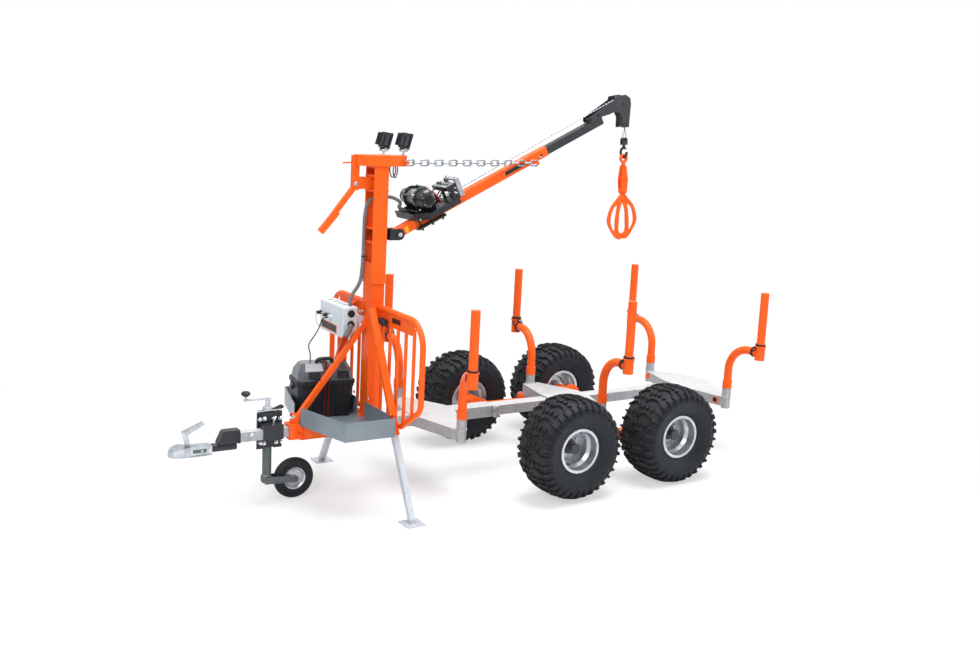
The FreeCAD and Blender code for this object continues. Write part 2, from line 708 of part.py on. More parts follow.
def headboard_tube(side):
    """One half of the headboard's bent tube, from the mast out and back to it."""
    x = HEADBOARD_X
    top, low = HEADBOARD_TOP_Z, HEADBOARD_BOTTOM_Z
    points = [V(x, side * MAST_HALF, top), V(x, side * HEADBOARD_HALF, top),
              V(x, side * HEADBOARD_HALF, HEADBOARD_SHOULDER_Z), V(x, side * HEADBOARD_FOOT_HALF, low),
              V(x, side * MAST_HALF, low)]
    middle = (points[1] + points[2]) * 0.5
    upper = path_wire([points[0], points[1], middle], HEADBOARD_TOP_BEND)
    lower = path_wire([middle] + points[2:], HEADBOARD_FOOT_BEND)
    circle = Part.Circle(points[0], points[1] - points[0], HEADBOARD_R).toShape()
    return Part.Wire(upper.Edges + lower.Edges).makePipeShell([Part.Wire([circle])], True, True)


def make_headboard():
    """The round-tube headboard beside the mast, with a panel and upright bars."""
    x, top, low = HEADBOARD_X, HEADBOARD_TOP_Z, HEADBOARD_BOTTOM_Z
    panel_end = HEADBOARD_HALF - HEADBOARD_TOP_BEND * 0.7
    slope = (HEADBOARD_SHOULDER_Z - low) / (HEADBOARD_HALF - HEADBOARD_FOOT_HALF)
    halves = []
    for _, side in SIDES:
        y0, y1 = sorted((side * MAST_HALF, side * panel_end))
        panel = box(x - 2, x + 2, y0, y1, top - HEADBOARD_PANEL, top - HEADBOARD_R + 4)
        parts = [headboard_tube(side), panel]
        for i in range(HEADBOARD_BAR_COUNT):
            y = HEADBOARD_BAR_Y + i * HEADBOARD_BAR_PITCH
            foot = low + max(0.0, (y - HEADBOARD_FOOT_HALF) * slope)
            head = top - HEADBOARD_PANEL + 6 if y < panel_end else top - HEADBOARD_PANEL + 40
            parts.append(rod(V(x, side * y, foot), V(x, side * y, head), HEADBOARD_BAR_R))
        halves.append(joined(*parts))
    add("headboard", apart(halves))


def ring_of(x0, x1, y0, y1, corner, z):
    """A level rectangle with its corners cut off."""
    c = corner
    points = [(x0 + c, y0), (x1 - c, y0), (x1, y0 + c), (x1, y1 - c),
              (x1 - c, y1), (x0 + c, y1), (x0, y1 - c), (x0, y0 + c)]
    vectors = [V(x, y, z) for x, y in points]
    return Part.makePolygon(vectors + [vectors[0]])


def battery_placement():
    """Where the battery box stands in the tray."""
    return FreeCAD.Placement(V(*BATTERY_PLACE, 0), FreeCAD.Rotation(Z_AXIS, BATTERY_TURN))


def make_battery_box():
    """A battery box with a faceted lid over its rim."""
    half_x, half_y = BATTERY_SIZE[0] / 2, BATTERY_SIZE[1] / 2
    low = base_top() + TRAY_SHEET
    taper, corner, lip, lean = 12.0, 20.0, 7.0, 9.0

    def ring(inset_x, inset_y, cut, z):
        return ring_of(inset_x - half_x, half_x - inset_x, inset_y - half_y, half_y - inset_y, cut, z)

    tub = Part.makeLoft([ring(taper, taper, corner, low), ring(0, 0, corner, BATTERY_RIM_Z)], True, True)
    band = Part.Face(ring(-lip, -lip, corner, BATTERY_RIM_Z)).extrude(V(0, 0, BATTERY_BAND))
    lid_z = BATTERY_RIM_Z + BATTERY_BAND
    skirt = ring(1, 1, corner, lid_z)
    shoulder = ring(lean, lean, corner * 1.5, lid_z + 0.6 * (BATTERY_TOP_Z - lid_z))
    crown = ring(3 * lean, 5 * lean, corner, BATTERY_TOP_Z)
    lid = Part.makeLoft([skirt, shoulder], True, True).fuse(Part.makeLoft([shoulder, crown], True, True))
    add("battery_box", placed(joined(tub, band, lid), battery_placement()))


def make_control_box():
    """The winch's control box on the front of the mast, with its sockets and plug."""
    x0, x1 = CONTROL_X
    y0, y1 = CONTROL_Y
    z0, z1 = CONTROL_Z
    shell = box(x0, x1, y0, y1, z0, z1)
    shell = shell.makeFillet(9.0, [e for e in shell.Edges])
    middle_z = (z0 + z1) / 2
    neck = box(MAST_X[1], x0 + 1, -MAST_HALF + 5, y1 - 6, middle_z - 35, middle_z + 35)
    whole = shell.fuse(neck)
    socket_x = (x0 + x1) / 2 - 3
    for z in (middle_z - 28, middle_z + 32):
        whole = whole.fuse(rod(V(socket_x, y1 - 2, z), V(socket_x, y1 + 4, z), 19))
    plug_y = (y0 + y1) / 2 + 12
    whole = whole.fuse(rod(V(x1 - 2, plug_y, middle_z + 10), V(x1 + 22, plug_y, middle_z + 10), 13))
    add("control_box", whole.removeSplitter())


# ---------------------------------------------------------------- mast
def shelf_heights():
    """The lower edges of the channel's four shelves, two for each turning part."""
    half = CLEVIS_HEIGHT / 2
    return (LUFF_Z - half - SHELF, LUFF_Z + half, LEVER_Z[0] - SHELF - 2, LEVER_Z[1] + 2)


def make_mast():
    """The fixed mast: square tube, windowed channel with its shelves, and three braces."""
    x0, x1 = MAST_X
    h, t = MAST_HALF, MAST_WALL
    tube = box(x0, x1, -h, h, base_top(), CHANNEL_Z + 20)
    tube = tube.cut(box(x0 + t, x1 - t, -h + t, h - t, base_top() + 4, CHANNEL_Z + 21))
    c, p = CHANNEL_HALF, CHANNEL_PLATE
    channel = box(x0, x1, -c, c, CHANNEL_Z, MAST_TOP_Z)
    channel = channel.cut(box(x0 + p, x1 - p, -c + p, c - p, CHANNEL_Z - 1, CHANNEL_OPEN_Z))
    channel = channel.cut(box(x0 - 1, x1 + 1, -c + p, c - p, CHANNEL_OPEN_Z, MAST_TOP_Z + 1))
    closer = box(x0, x1, -c, c, CHANNEL_Z, CHANNEL_Z + 6)
    closer = closer.cut(box(x0 + t, x1 - t, -h + t, h - t, 0, MAST_TOP_Z))
    mast = tube.fuse([channel, closer, box(x0, x1, -c + p, c - p, MAST_TOP_Z - SHELF, MAST_TOP_Z)])
    for low in shelf_heights():
        mast = mast.fuse(box(x0 - SHELF_OUT, x1 + SHELF_OUT, -c + p, c - p, low, low + SHELF))
    pin = SLEW_PIN_R + PIN_GAP
    mast = mast.cut(rod(V(SLEW_X, 0, CHANNEL_OPEN_Z + 20), V(SLEW_X, 0, MAST_TOP_Z + 1), pin))
    add("mast", mast.removeSplitter())


def make_braces():
    """The front brace to the nose, and a brace at either side down into the tray's corners."""
    half, clear = BRACE_WIDTH / 2, 0.3
    lug_half = NOSE_LUG_HALF + clear
    foot_x = NOSE_X[0] + 11
    foot = V(foot_x, 0, NOSE_Z[1] + 12)
    head = V(MAST_X[1], 0, BRACE_TOP_Z)
    slope = (head - foot).normalize()
    front = bar(foot + slope * 12, head + slope * 20, BRACE_WIDTH, BRACE_WIDTH - 5)
    front = front.cut(box(MAST_X[0], MAST_X[1], -CHANNEL_HALF, CHANNEL_HALF, base_top(), MAST_TOP_Z))
    for _, side in SIDES:
        y0, y1 = sorted((side * lug_half, side * (lug_half + 6)))
        front = front.fuse(box(foot_x - 12, foot_x + 12, y0, y1, NOSE_Z[1] + 1, NOSE_Z[1] + 48))
    lug_room = box(NOSE_X[0] - 60, NOSE_X[1], -lug_half, lug_half, NOSE_Z[1] - 9, NOSE_Z[1] + NOSE_LUG + 2)
    braces = [front.cut(lug_room).removeSplitter()]
    x, (top_y, top_z) = SIDE_BRACE_X, SIDE_BRACE_TOP
    wall = TRAY_REAR_X + TRAY_SHEET
    tray_top = base_top() + TRAY_HEIGHT
    for _, side in SIDES:
        foot_y = side * SIDE_BRACE_FOOT_Y
        shape = bar(V(x, foot_y, tray_top + 8), V(x, side * top_y, top_z), SIDE_BRACE_WIDTH, SIDE_BRACE_DEPTH,
                    side=Y_AXIS)
        foot = box(wall, wall + 7, foot_y - 17, foot_y + 17, tray_top - 46, tray_top + 22)
        y0, y1 = sorted((side * 20, side * (top_y + 8)))
        lug = box(MAST_X[1], MAST_X[1] + 7, y0, y1, top_z - 24, top_z + 18)
        head = sorted((side * (top_y - 14), side * (top_y + 8)))
        block = box(MAST_X[1], x + SIDE_BRACE_WIDTH / 2, *head, top_z - 24, top_z + 4)
        braces.append(joined(shape.cut(box(MAST_X[0], MAST_X[1], -400, 400, 900, 1100)), foot, lug, block))
    add("mast_braces", apart(braces))


# ---------------------------------------------------------------- drawbar and coupler
def make_drawbar():
    """The square drawbar and the black end piece with its turning tube."""
    x0, x1 = DRAWBAR_X
    add("drawbar", beam_x(DRAWBAR_X, DRAWBAR_Z, DRAWBAR_SIZE, DRAWBAR_SIZE, DRAWBAR_WALL))
    fit = DRAWBAR_SIZE / 2 - DRAWBAR_WALL - SLIDE_GAP
    half = DRAWBAR_SIZE / 2 + 3
    core = box(x1 - 60, x1 + 2, -fit, fit, DRAWBAR_Z - fit, DRAWBAR_Z + fit)
    cap = box(x1, x1 + 12, -half, half, DRAWBAR_Z - half, DRAWBAR_Z + half)
    top = NECK_Z + NECK_R
    side = [(x1 + 2, top - 6), (x1 + 114, top - 6), (x1 + 114, top + 6), (x1 + 88, DRAWBAR_Z + 40),
            (x1 + 72, DRAWBAR_Z + 42), (x1 + 2, DRAWBAR_Z + 42)]
    block = sheet_y(side, -half + 3, half - 3)
    tube = rod(V(NECK_X[0], 0, NECK_Z), V(NECK_X[1], 0, NECK_Z), NECK_R)
    whole = joined(core, cap, block, tube)
    whole = whole.cut(rod(V(NECK_X[0] + 8, 0, NECK_Z), V(NECK_X[1] + 1, 0, NECK_Z), NECK_PIN_R + PIN_GAP))
    add("drawbar_end", whole)


def make_coupler():
    """The pressed ball coupler with its lever, on a shaft that turns in the end piece."""
    shaft = rod(V(NECK_X[0] + 10, 0, NECK_Z), V(NECK_X[1] + 26, 0, NECK_Z), NECK_PIN_R)
    rear = NECK_X[1] + 4
    front = BALL_X + COUPLER_NOSE_R
    low, half = BALL_Z - 14, COUPLER_HALF
    side = [(rear, low - 2), (rear + 70, low), (front, low + 6), (front, BALL_Z + 12),
            (front - 22, BALL_Z + 28), (BALL_X - 12, BALL_Z + 37), (rear + 90, BALL_Z + 35),
            (rear, BALL_Z + 32)]
    body = sheet_y(side, -60, 60)
    nose = COUPLER_NOSE_R
    level = [(rear, -half), (BALL_X - 60, -half), (BALL_X - 20, -nose), (BALL_X + 60, -nose),
             (BALL_X + 60, nose), (BALL_X - 20, nose), (BALL_X - 60, half), (rear, half)]
    body = body.common(sheet_z(level, low - 30, BALL_Z + 60))
    round_nose = joined(rod(V(BALL_X, 0, low - 30), V(BALL_X, 0, BALL_Z + 60), COUPLER_NOSE_R),
                        box(rear - 1, BALL_X, -60, 60, low - 30, BALL_Z + 60))
    body = body.common(round_nose)
    channel = box(rear + 34, BALL_X - 34, -half + 5, half - 5, low - 5, BALL_Z + 30)
    ball = Part.makeSphere(SOCKET_BALL_R, V(BALL_X, 0, BALL_Z))
    throat = rod(V(BALL_X, 0, low - 30), V(BALL_X, 0, BALL_Z), SOCKET_BALL_R)
    body = body.fuse(shaft).cut(channel).cut(ball).cut(throat)
    flange_y = half - 1
    for _, y in SIDES:
        y0, y1 = sorted((y * flange_y, y * (flange_y + 9)))
        body = body.fuse(box(rear, BALL_X - 40, y0, y1, low - 1, low + 4))
    top = BALL_Z + 33
    lever = [(BALL_X - 64, top), (BALL_X - 42, top), (BALL_X - 22, BALL_Z + 98), (BALL_X - 22, BALL_Z + 112),
             (BALL_X - 126, BALL_Z + 154), (BALL_X - 137, BALL_Z + 140), (BALL_X - 52, BALL_Z + 92)]
    handle = sheet_y(lever, -9, 9)
    add("coupler", joined(body, handle))


# ---------------------------------------------------------------- jockey wheel
def jockey_axis(z):
    """A point on the jockey tube's axis."""
    return V(JOCKEY_X, JOCKEY_Y, z)


def jockey_hub():
    """The middle of the jockey wheel, on the ground behind its tube."""
    x = JOCKEY_X - JOCKEY_TRAIL
    return V(x, JOCKEY_Y, ground_z(x) + JOCKEY_WHEEL_R)


def make_jockey_clamp():
    """Sleeve on the drawbar, bolted plate and split clamp round the jockey tube."""
    fit = DRAWBAR_SIZE / 2 + SLIDE_GAP
    half = fit + 5
    x0, x1 = JOCKEY_X - 54, JOCKEY_X + 54
    sleeve = box(x0, x1, -half, half, DRAWBAR_Z - half, DRAWBAR_Z + half + 16)
    plate_x = (JOCKEY_X - 68, JOCKEY_X + 68)
    plate_z = (DRAWBAR_Z - 90, DRAWBAR_Z + 104)
    y0 = -half - 8
    backing = box(*plate_x, y0, -half + 1, *plate_z)
    for z in plate_z:
        backing = backing.cut(box(JOCKEY_X - 24, JOCKEY_X + 24, y0 - 1, -half + 2, z - 5, z + 5))
    whole = sleeve.fuse(backing)
    r, collar_top = JOCKEY_TUBE_R + 6, JOCKEY_TUBE_Z[1] - 5
    jaw = box(JOCKEY_X - 46, JOCKEY_X + 46, JOCKEY_Y - 14, y0 + 1, plate_z[0] + 14, collar_top)
    collar = rod(jockey_axis(plate_z[0] + 14), jockey_axis(collar_top), r)
    bore = rod(jockey_axis(0), jockey_axis(700), JOCKEY_TUBE_R + PIN_GAP)
    whole = whole.fuse([jaw, collar])
    for dx in (-52, 52):
        for z in (plate_z[0] + 22, plate_z[1] - 24):
            a = V(JOCKEY_X + dx, -half - 1, z)
            whole = whole.fuse(rod(a, a + V(0, 9, 0), 9))
    screw = V(JOCKEY_X - 24, JOCKEY_Y - 26, plate_z[1] - 10)
    whole = whole.fuse(rod(screw, screw + V(0, 14, 0), 8))
    grip = bar(screw + V(0, 2, 0), screw + V(-62, 2, 22), 12, 12)
    whole = whole.fuse(grip)
    inside = box(x0 - 20, x1 + 20, -fit, fit, DRAWBAR_Z - fit, DRAWBAR_Z + fit)
    add("jockey_clamp", whole.cut(bore).cut(inside).removeSplitter())


def make_jockey_tube():
    """The outer jockey tube with its crank and knob."""
    low, high = JOCKEY_TUBE_Z
    tube = pipe(jockey_axis(low), jockey_axis(high), JOCKEY_TUBE_R, JOCKEY_SLIDE_R + 0.4)
    cap = rod(jockey_axis(high - 3), jockey_axis(high + 14), JOCKEY_TUBE_R + 1.5)
    spindle = rod(jockey_axis(high + 10), jockey_axis(high + 54), 13)
    arm_z = high + 58
    arm = box(JOCKEY_X - 17, JOCKEY_X + 130, JOCKEY_Y - 10, JOCKEY_Y + 10, arm_z - 4, arm_z + 4)
    stem = rod(V(JOCKEY_X + 119, JOCKEY_Y, arm_z), V(JOCKEY_X + 119, JOCKEY_Y, arm_z + 34), 7)
    knob = spun([(0, 22), (14, 22), (24, 32), (24, 38), (16, 46), (0, 48)],
                V(JOCKEY_X + 119, JOCKEY_Y, arm_z), Z_AXIS)
    add("jockey_tube", joined(tube, cap, spindle, arm, stem, knob))


def make_jockey_wheel():
    """The sliding inner tube, the castor fork and the solid-tyred wheel."""
    hub = jockey_hub()
    low = JOCKEY_TUBE_Z[0]
    crown_top = low - 8
    slide = pipe(jockey_axis(crown_top + 1), jockey_axis(JOCKEY_TUBE_Z[1] - 40), JOCKEY_SLIDE_R, 10 + PIN_GAP)
    add("jockey_slide", slide)
    half = JOCKEY_WHEEL_WIDTH / 2
    inner = half + 4
    crown = rod(jockey_axis(crown_top - 34), jockey_axis(crown_top), JOCKEY_TUBE_R)
    pin = rod(jockey_axis(crown_top - 2), jockey_axis(crown_top + 60), 10)
    parts = [crown, pin]
    reach = JOCKEY_TRAIL
    arm_half = 17
    arm = [(JOCKEY_X + 20, crown_top), (JOCKEY_X - 20, crown_top), (hub.x, hub.z + arm_half),
           (hub.x, hub.z - arm_half), (JOCKEY_X + 20, crown_top - 37)]
    for _, side in SIDES:
        y0, y1 = sorted((hub.y + side * inner, hub.y + side * (inner + 4)))
        parts.append(sheet_y(arm, y0, y1))
        parts.append(rod(V(hub.x, y0, hub.z), V(hub.x, y1, hub.z), arm_half))
    parts.append(box(JOCKEY_X - 20, JOCKEY_X + 20, hub.y - inner - 2, hub.y + inner + 2,
                     crown_top - 8, crown_top))
    parts.append(rod(V(hub.x, hub.y - inner - 9, hub.z), V(hub.x, hub.y + inner + 9, hub.z), JOCKEY_PIN_R))
    add("jockey_fork", joined(*parts))
    r, seat = JOCKEY_WHEEL_R, JOCKEY_RIM_R
    solid = [(seat, -half + 5), (seat + 12, -half), (r - 14, -half), (r - 3, -half + 9), (r, 0),
             (r - 3, half - 9), (r - 14, half), (seat + 12, half), (seat, half - 5)]
    add("jockey_tyre", spun(solid, hub, Y_AXIS))
    bore = JOCKEY_PIN_R + PIN_GAP
    disc = [(bore, -half + 2), (17, -half + 2), (17, -6), (seat - 16, -4), (seat - 4, -half + 6),
            (seat - 0.2, -half + 4), (seat - 0.2, half - 4), (seat - 4, half - 6), (seat - 16, 4), (17, 6),
            (17, half - 2), (bore, half - 2)]
    add("jockey_rim", spun(disc, hub, Y_AXIS))


# ---------------------------------------------------------------- crane head
def head_plan(inset, z):
    """The head's plan, drawn in by the inset: wide over the mast, narrow at either end."""
    front, rear, half = HEAD_FRONT_X - inset, HEAD_REAR_X + inset, 60 - inset
    points = [(front, -22 + inset), (MAST_X[1], -half), (MAST_X[0] - 20, -half), (rear, -26 + inset),
              (rear, 26 - inset), (MAST_X[0] - 20, half), (MAST_X[1], half), (front, 22 - inset)]
    return [V(x, y, z) for x, y in points]


def make_slew_head():
    """The turning head on the mast, with the lever that turns it."""
    z = MAST_TOP_Z + 0.5
    shell = plate(head_plan(0, z), V(0, 0, HEAD_HEIGHT))
    shell = shell.cut(plate(head_plan(HEAD_SHEET, z - 1), V(0, 0, HEAD_HEIGHT - HEAD_SHEET + 1)))
    floor = box(MAST_X[0] - 4, MAST_X[1] + 4, -CHANNEL_HALF, CHANNEL_HALF, z, z + HEAD_SHEET)
    stub = rod(V(SLEW_X, 0, z - SHELF + 1), V(SLEW_X, 0, z + HEAD_HEIGHT - 1), SLEW_PIN_R)
    peg = chain_pin()
    hanger = joined(rod(V(peg.x, 18, peg.z), peg + V(0, CHAIN_WIRE + 5, 0), CHAIN_PIN_R),
                    rod(peg + V(0, CHAIN_WIRE + 1, 0), peg + V(0, CHAIN_WIRE + 5, 0), 9))
    handle = rod(V(HEAD_FRONT_X + 18, 0, z + 16), V(HEAD_FRONT_X + 72, 0, z + 12), 4)
    front_x = (HEAD_FRONT_X - 18, HEAD_FRONT_X + 21)
    drop = box(*front_x, -11, 11, LEVER_Z[0] - 6, z + HEAD_HEIGHT - 3)
    head = joined(shell, floor, stub, hanger, handle, drop)

    low, high = LEVER_Z
    barrel = rod(V(SLEW_X, 0, low - 1), V(SLEW_X, 0, high + 1), SLEW_BARREL_R)
    pin = rod(V(SLEW_X, 0, low - SHELF), V(SLEW_X, 0, high + SHELF), SLEW_PIN_R)
    reach = box(SLEW_X, front_x[0] + 2, -9, 9, low, high)
    elbow = V(HEAD_FRONT_X + LEVER_ELBOW[0], 0, low + LEVER_ELBOW[1])
    end = V(HEAD_FRONT_X + LEVER_END[0], 0, low + LEVER_END[1])
    lever = bar(V(front_x[1] - 19, 0, low + 14), end, 22, 26)
    grip = bar(elbow, end + (end - elbow).normalize() * 6, 28, 30)
    add("slew_head", joined(head, barrel, pin, reach, lever, grip))


def make_lamps():
    """Two work lamps on their brackets, tilted to shine down behind the mast."""
    lamps = []
    top = MAST_TOP_Z + 0.5 + HEAD_HEIGHT
    for x in LAMP_X:
        centre = V(x, 0, top + 78)
        body = box(-20, 24, -38, 38, -42, 42)
        lens = box(-27, -19, -42, 42, -46, 46)
        fins = [box(23, 31, y - 2, y + 2, -34, 34) for y in range(-30, 31, 12)]
        lamp = joined(body, lens, *fins)
        turn = FreeCAD.Rotation(Y_AXIS, -LAMP_TILT)
        lamp = placed(lamp, FreeCAD.Placement(centre, turn))
        stem = box(x - 12, x + 12, -12, 12, top, top + 6)
        stem = stem.fuse(box(x - 4, x + 4, -12, 12, top, top + 46))
        lamps.append(joined(stem, lamp))
    add("work_lamps", apart(lamps))


def make_clevis():
    """The boom's clevis, turning in the mast's channel."""
    half = CLEVIS_HEIGHT / 2
    low, high = LUFF_Z - half + 1, LUFF_Z + half - 1
    barrel = rod(V(SLEW_X, 0, low), V(SLEW_X, 0, high), SLEW_BARREL_R)
    pin = rod(V(SLEW_X, 0, low - SHELF), V(SLEW_X, 0, high + SHELF), SLEW_PIN_R)
    neck = box(LUFF_X + 52, SLEW_X, -9, 9, low, high)
    inner = BOOM_SIZE / 2 + 2
    outer = inner + 6
    yoke = box(LUFF_X + 46, LUFF_X + 56, -outer, outer, low, high)
    solids = [barrel, pin, neck, yoke]
    for _, side in SIDES:
        y0, y1 = sorted((side * inner, side * outer))
        cheek = box(LUFF_X, LUFF_X + 50, y0, y1, low, high)
        solids += [cheek, rod(V(LUFF_X, y0, LUFF_Z), V(LUFF_X, y1, LUFF_Z), half - 1)]
    bolt_half = outer + 8
    solids.append(rod(V(LUFF_X, -bolt_half, LUFF_Z), V(LUFF_X, bolt_half, LUFF_Z), LUFF_PIN_R - PIN_GAP))
    for _, side in SIDES:
        y0, y1 = sorted((side * outer, side * (outer + 8)))
        solids.append(rod(V(LUFF_X, y0, LUFF_Z), V(LUFF_X, y1, LUFF_Z), 16))
    add("boom_clevis", joined(*solids))


# ---------------------------------------------------------------- boom
def raised(shape):
    """A piece of the level boom, raised to the boom's angle about its pivot."""
    turn = FreeCAD.Rotation(Y_AXIS, BOOM_ANGLE)
    return placed(shape, FreeCAD.Placement(V(LUFF_X, 0, LUFF_Z), turn))


def on_boom(reach, lift, y=0.0):
    """The place of a point on the raised boom: reach along it and lift above its pivot."""
    angle = math.radians(BOOM_ANGLE)
    along = V(-math.cos(angle), 0, math.sin(angle))
    up = V(math.sin(angle), 0, math.cos(angle))
    return V(LUFF_X, y, LUFF_Z) + along * reach + up * lift


def boom_box(reach0, reach1, y0, y1, lift0, lift1):
    """A block on the level boom."""
    return box(-reach1, -reach0, y0, y1, lift0, lift1)


def boom_tube(reach, size, wall):
    """A square tube of the level boom."""
    half = size / 2
    inner = half - wall
    tube = boom_box(*reach, -half, half, BOOM_LIFT - half, BOOM_LIFT + half)
    low, high = BOOM_LIFT - inner, BOOM_LIFT + inner
    return tube.cut(boom_box(reach[0] - 1, reach[1] + 1, -inner, inner, low, high))


def inner_size():
    """Outer size of the telescoping inner boom."""
    return BOOM_SIZE - 2 * (BOOM_WALL + SLIDE_GAP / 2)


def make_boom():
    """The outer boom with its pivot hole and chain eye, and the inner boom bolted in it."""
    half = BOOM_SIZE / 2
    outer = boom_tube(BOOM_REACH, BOOM_SIZE, BOOM_WALL)
    outer = outer.cut(rod(V(0, -half - 1, 0), V(0, half + 1, 0), LUFF_PIN_R))
    toe = plate([V(-BOOM_REACH[0] + 1, -half - 1, BOOM_LIFT - half - 1),
                 V(-BOOM_REACH[0] - 22, -half - 1, -half - 1),
                 V(-BOOM_REACH[0] + 1, -half - 1, 0)], V(0, BOOM_SIZE + 2, 0))
    outer = outer.cut(toe)
    reach, lift = CHAIN_EYE
    eye = joined(rod(V(-reach, half - 1, lift), V(-reach, CHAIN_Y + CHAIN_WIRE + 5, lift), CHAIN_PIN_R),
                 boom_box(reach - 12, reach + 12, half - 1, half + 6, lift - 4, lift + 12),
                 rod(V(-reach, CHAIN_Y + CHAIN_WIRE + 1, lift), V(-reach, CHAIN_Y + CHAIN_WIRE + 5, lift), 9))
    outer = outer.fuse(eye)
    bolt_x = -BOOM_REACH[1] + 49
    for _, side in SIDES:
        head = rod(V(bolt_x, side * (half - 1), BOOM_LIFT), V(bolt_x, side * (half + 8), BOOM_LIFT), 9)
        outer = outer.fuse(head)
    add("boom_outer", raised(outer.removeSplitter()))
    add("boom_inner", raised(boom_tube(INNER_REACH, inner_size(), INNER_WALL)))


def pulley_centre():
    """The middle of the pulley at the boom's end."""
    return on_boom(PULLEY_REACH, PULLEY_LIFT)


def make_boom_head():
    """The black boom head: two cheeks with the pulley between them and the rope guide below."""
    tip = pulley_centre()
    top = BOOM_LIFT + inner_size() / 2
    start = INNER_REACH[1] - 92
    back = [on_boom(INNER_REACH[1] + 1, top), on_boom(start, top), on_boom(start - 6, top + 12),
            on_boom(start + 4, top + 30)]
    fore = [(77, 17), (72, 38), (30, 46), (-8, 52), (-42, 34), (-50, 0), (-46, -134), (4, -139),
            (6, -78), (24, -52), (78, -54), (104, -66)]
    solids = []
    inner, outer = CHEEK_Y
    for _, side in SIDES:
        y0, y1 = sorted((side * inner, side * outer))
        points = [V(p.x, y0, p.z) for p in back] + [V(tip.x + dx, y0, tip.z + dz) for dx, dz in fore]
        solids.append(plate(points, V(0, y1 - y0, 0)))
    for reach in (start + 14, start + 70):
        centre = on_boom(reach, top + 14)
        solids.append(rod(centre + V(0, -outer - 8, 0), centre + V(0, outer + 8, 0), 8))
    web = [on_boom(start + 6, top), on_boom(start + 6, top + 8), on_boom(INNER_REACH[1], top + 8),
           on_boom(INNER_REACH[1], top)]
    solids.append(plate([V(p.x, -inner - 1, p.z) for p in web], V(0, 2 * inner + 2, 0)))
    solids.append(rod(tip + V(0, -outer - 5, 0), tip + V(0, outer + 5, 0), 8 - PIN_GAP))
    for dx in (-28, -6):
        centre = V(tip.x + dx, 0, tip.z - 122)
        solids.append(rod(centre + V(0, -outer - 4, 0), centre + V(0, outer + 4, 0), 5))
    add("boom_head", joined(*solids))
    flange, deep = PULLEY_R, PULLEY_R - PULLEY_GROOVE
    w, hub = PULLEY_HALF, inner - 1
    groove = [(8, -hub), (15, -hub), (15, -w), (flange, -w), (flange, -w + 3), (deep, -2), (deep, 2),
              (flange, w - 3), (flange, w), (15, w), (15, hub), (8, hub)]
    add("head_pulley", spun(groove, tip, Y_AXIS))


def chain_link(a, b, flat):
    """One long link of a chain between two points, lying flat or standing."""
    length, r = (b - a).Length + CHAIN_WIRE, CHAIN_WIRE / 2
    half = CHAIN_WIDTH / 2 - r
    x0, x1 = -CHAIN_WIRE / 2, length - CHAIN_WIRE / 2
    corner = half * 0.9
    points = [V((x0 + x1) / 2, -half, 0), V(x1, -half, 0), V(x1, half, 0), V(x0, half, 0), V(x0, -half, 0)]
    path = path_wire(points + [points[0]], corner)
    circle = Part.Circle(points[0], X_AXIS, r).toShape()
    ring = path.makePipeShell([Part.Wire([circle])], True, False)
    return framed(ring, a, b - a, Y_AXIS if flat else Z_AXIS)


def chain_pin():
    """The pin on the head from which the chain hangs."""
    return V(HEAD_REAR_X + 10, CHAIN_Y, CHAIN_Z)


def make_chain():
    """The chain that holds the boom up, straight from the head's pin to the boom's pin."""
    top, low = chain_pin(), on_boom(*CHAIN_EYE, CHAIN_Y)
    along = (low - top).normalize()
    a, b = top - along * (CHAIN_WIRE / 2), low + along * (CHAIN_WIRE / 2)
    count = 2 * round(((b - a).Length / CHAIN_PITCH - 1) / 2) + 1
    step = (b - a) / count
    links = [chain_link(a + step * i, a + step * (i + 1), i % 2 == 1) for i in range(count)]
    add("boom_chain", links[0].fuse(links[1:]))


# ---------------------------------------------------------------- winch
def make_winch_tray():
    """The folded winch tray, held on the boom by three U-bolts and a bar."""
    low = BOOM_LIFT + BOOM_SIZE / 2
    half, reach, s = WINCH_TRAY_HALF, WINCH_TRAY_REACH, TRAY_DECK
    plan = [(-reach[0], -half), (-reach[0], half - WINCH_TRAY_CHAMFER),
            (-reach[0] - WINCH_TRAY_CHAMFER / 2, half), (-reach[1], half), (-reach[1], -half)]
    floor = sheet_z(plan, low, low + s)
    rims = []
    for (xa, ya), (xb, yb), height in (
            (plan[0], plan[1], 40), (plan[1], plan[2], 40), (plan[2], plan[3], 30), (plan[4], plan[0], 30)):
        a, b = V(xa, ya, low + height / 2), V(xb, yb, low + height / 2)
        rims.append(bar(a, b, height, 4, side=Z_AXIS))
    tray = joined(floor, *rims)
    clamp_low = BOOM_LIFT - BOOM_SIZE / 2 - 12
    clamp = boom_box(110, 292, -44, 44, clamp_low, clamp_low + 11)
    tray = tray.fuse(clamp)
    for reach_at in (135.0, 203.0, 270.0):
        for _, side in SIDES:
            a = V(-reach_at, side * 32, clamp_low - 12)
            tray = tray.fuse(rod(a, V(a.x, a.y, low + 9), 4))
            tray = tray.fuse(rod(a, a + V(0, 0, 9), 7.5))
    add("winch_tray", raised(tray.removeSplitter()))


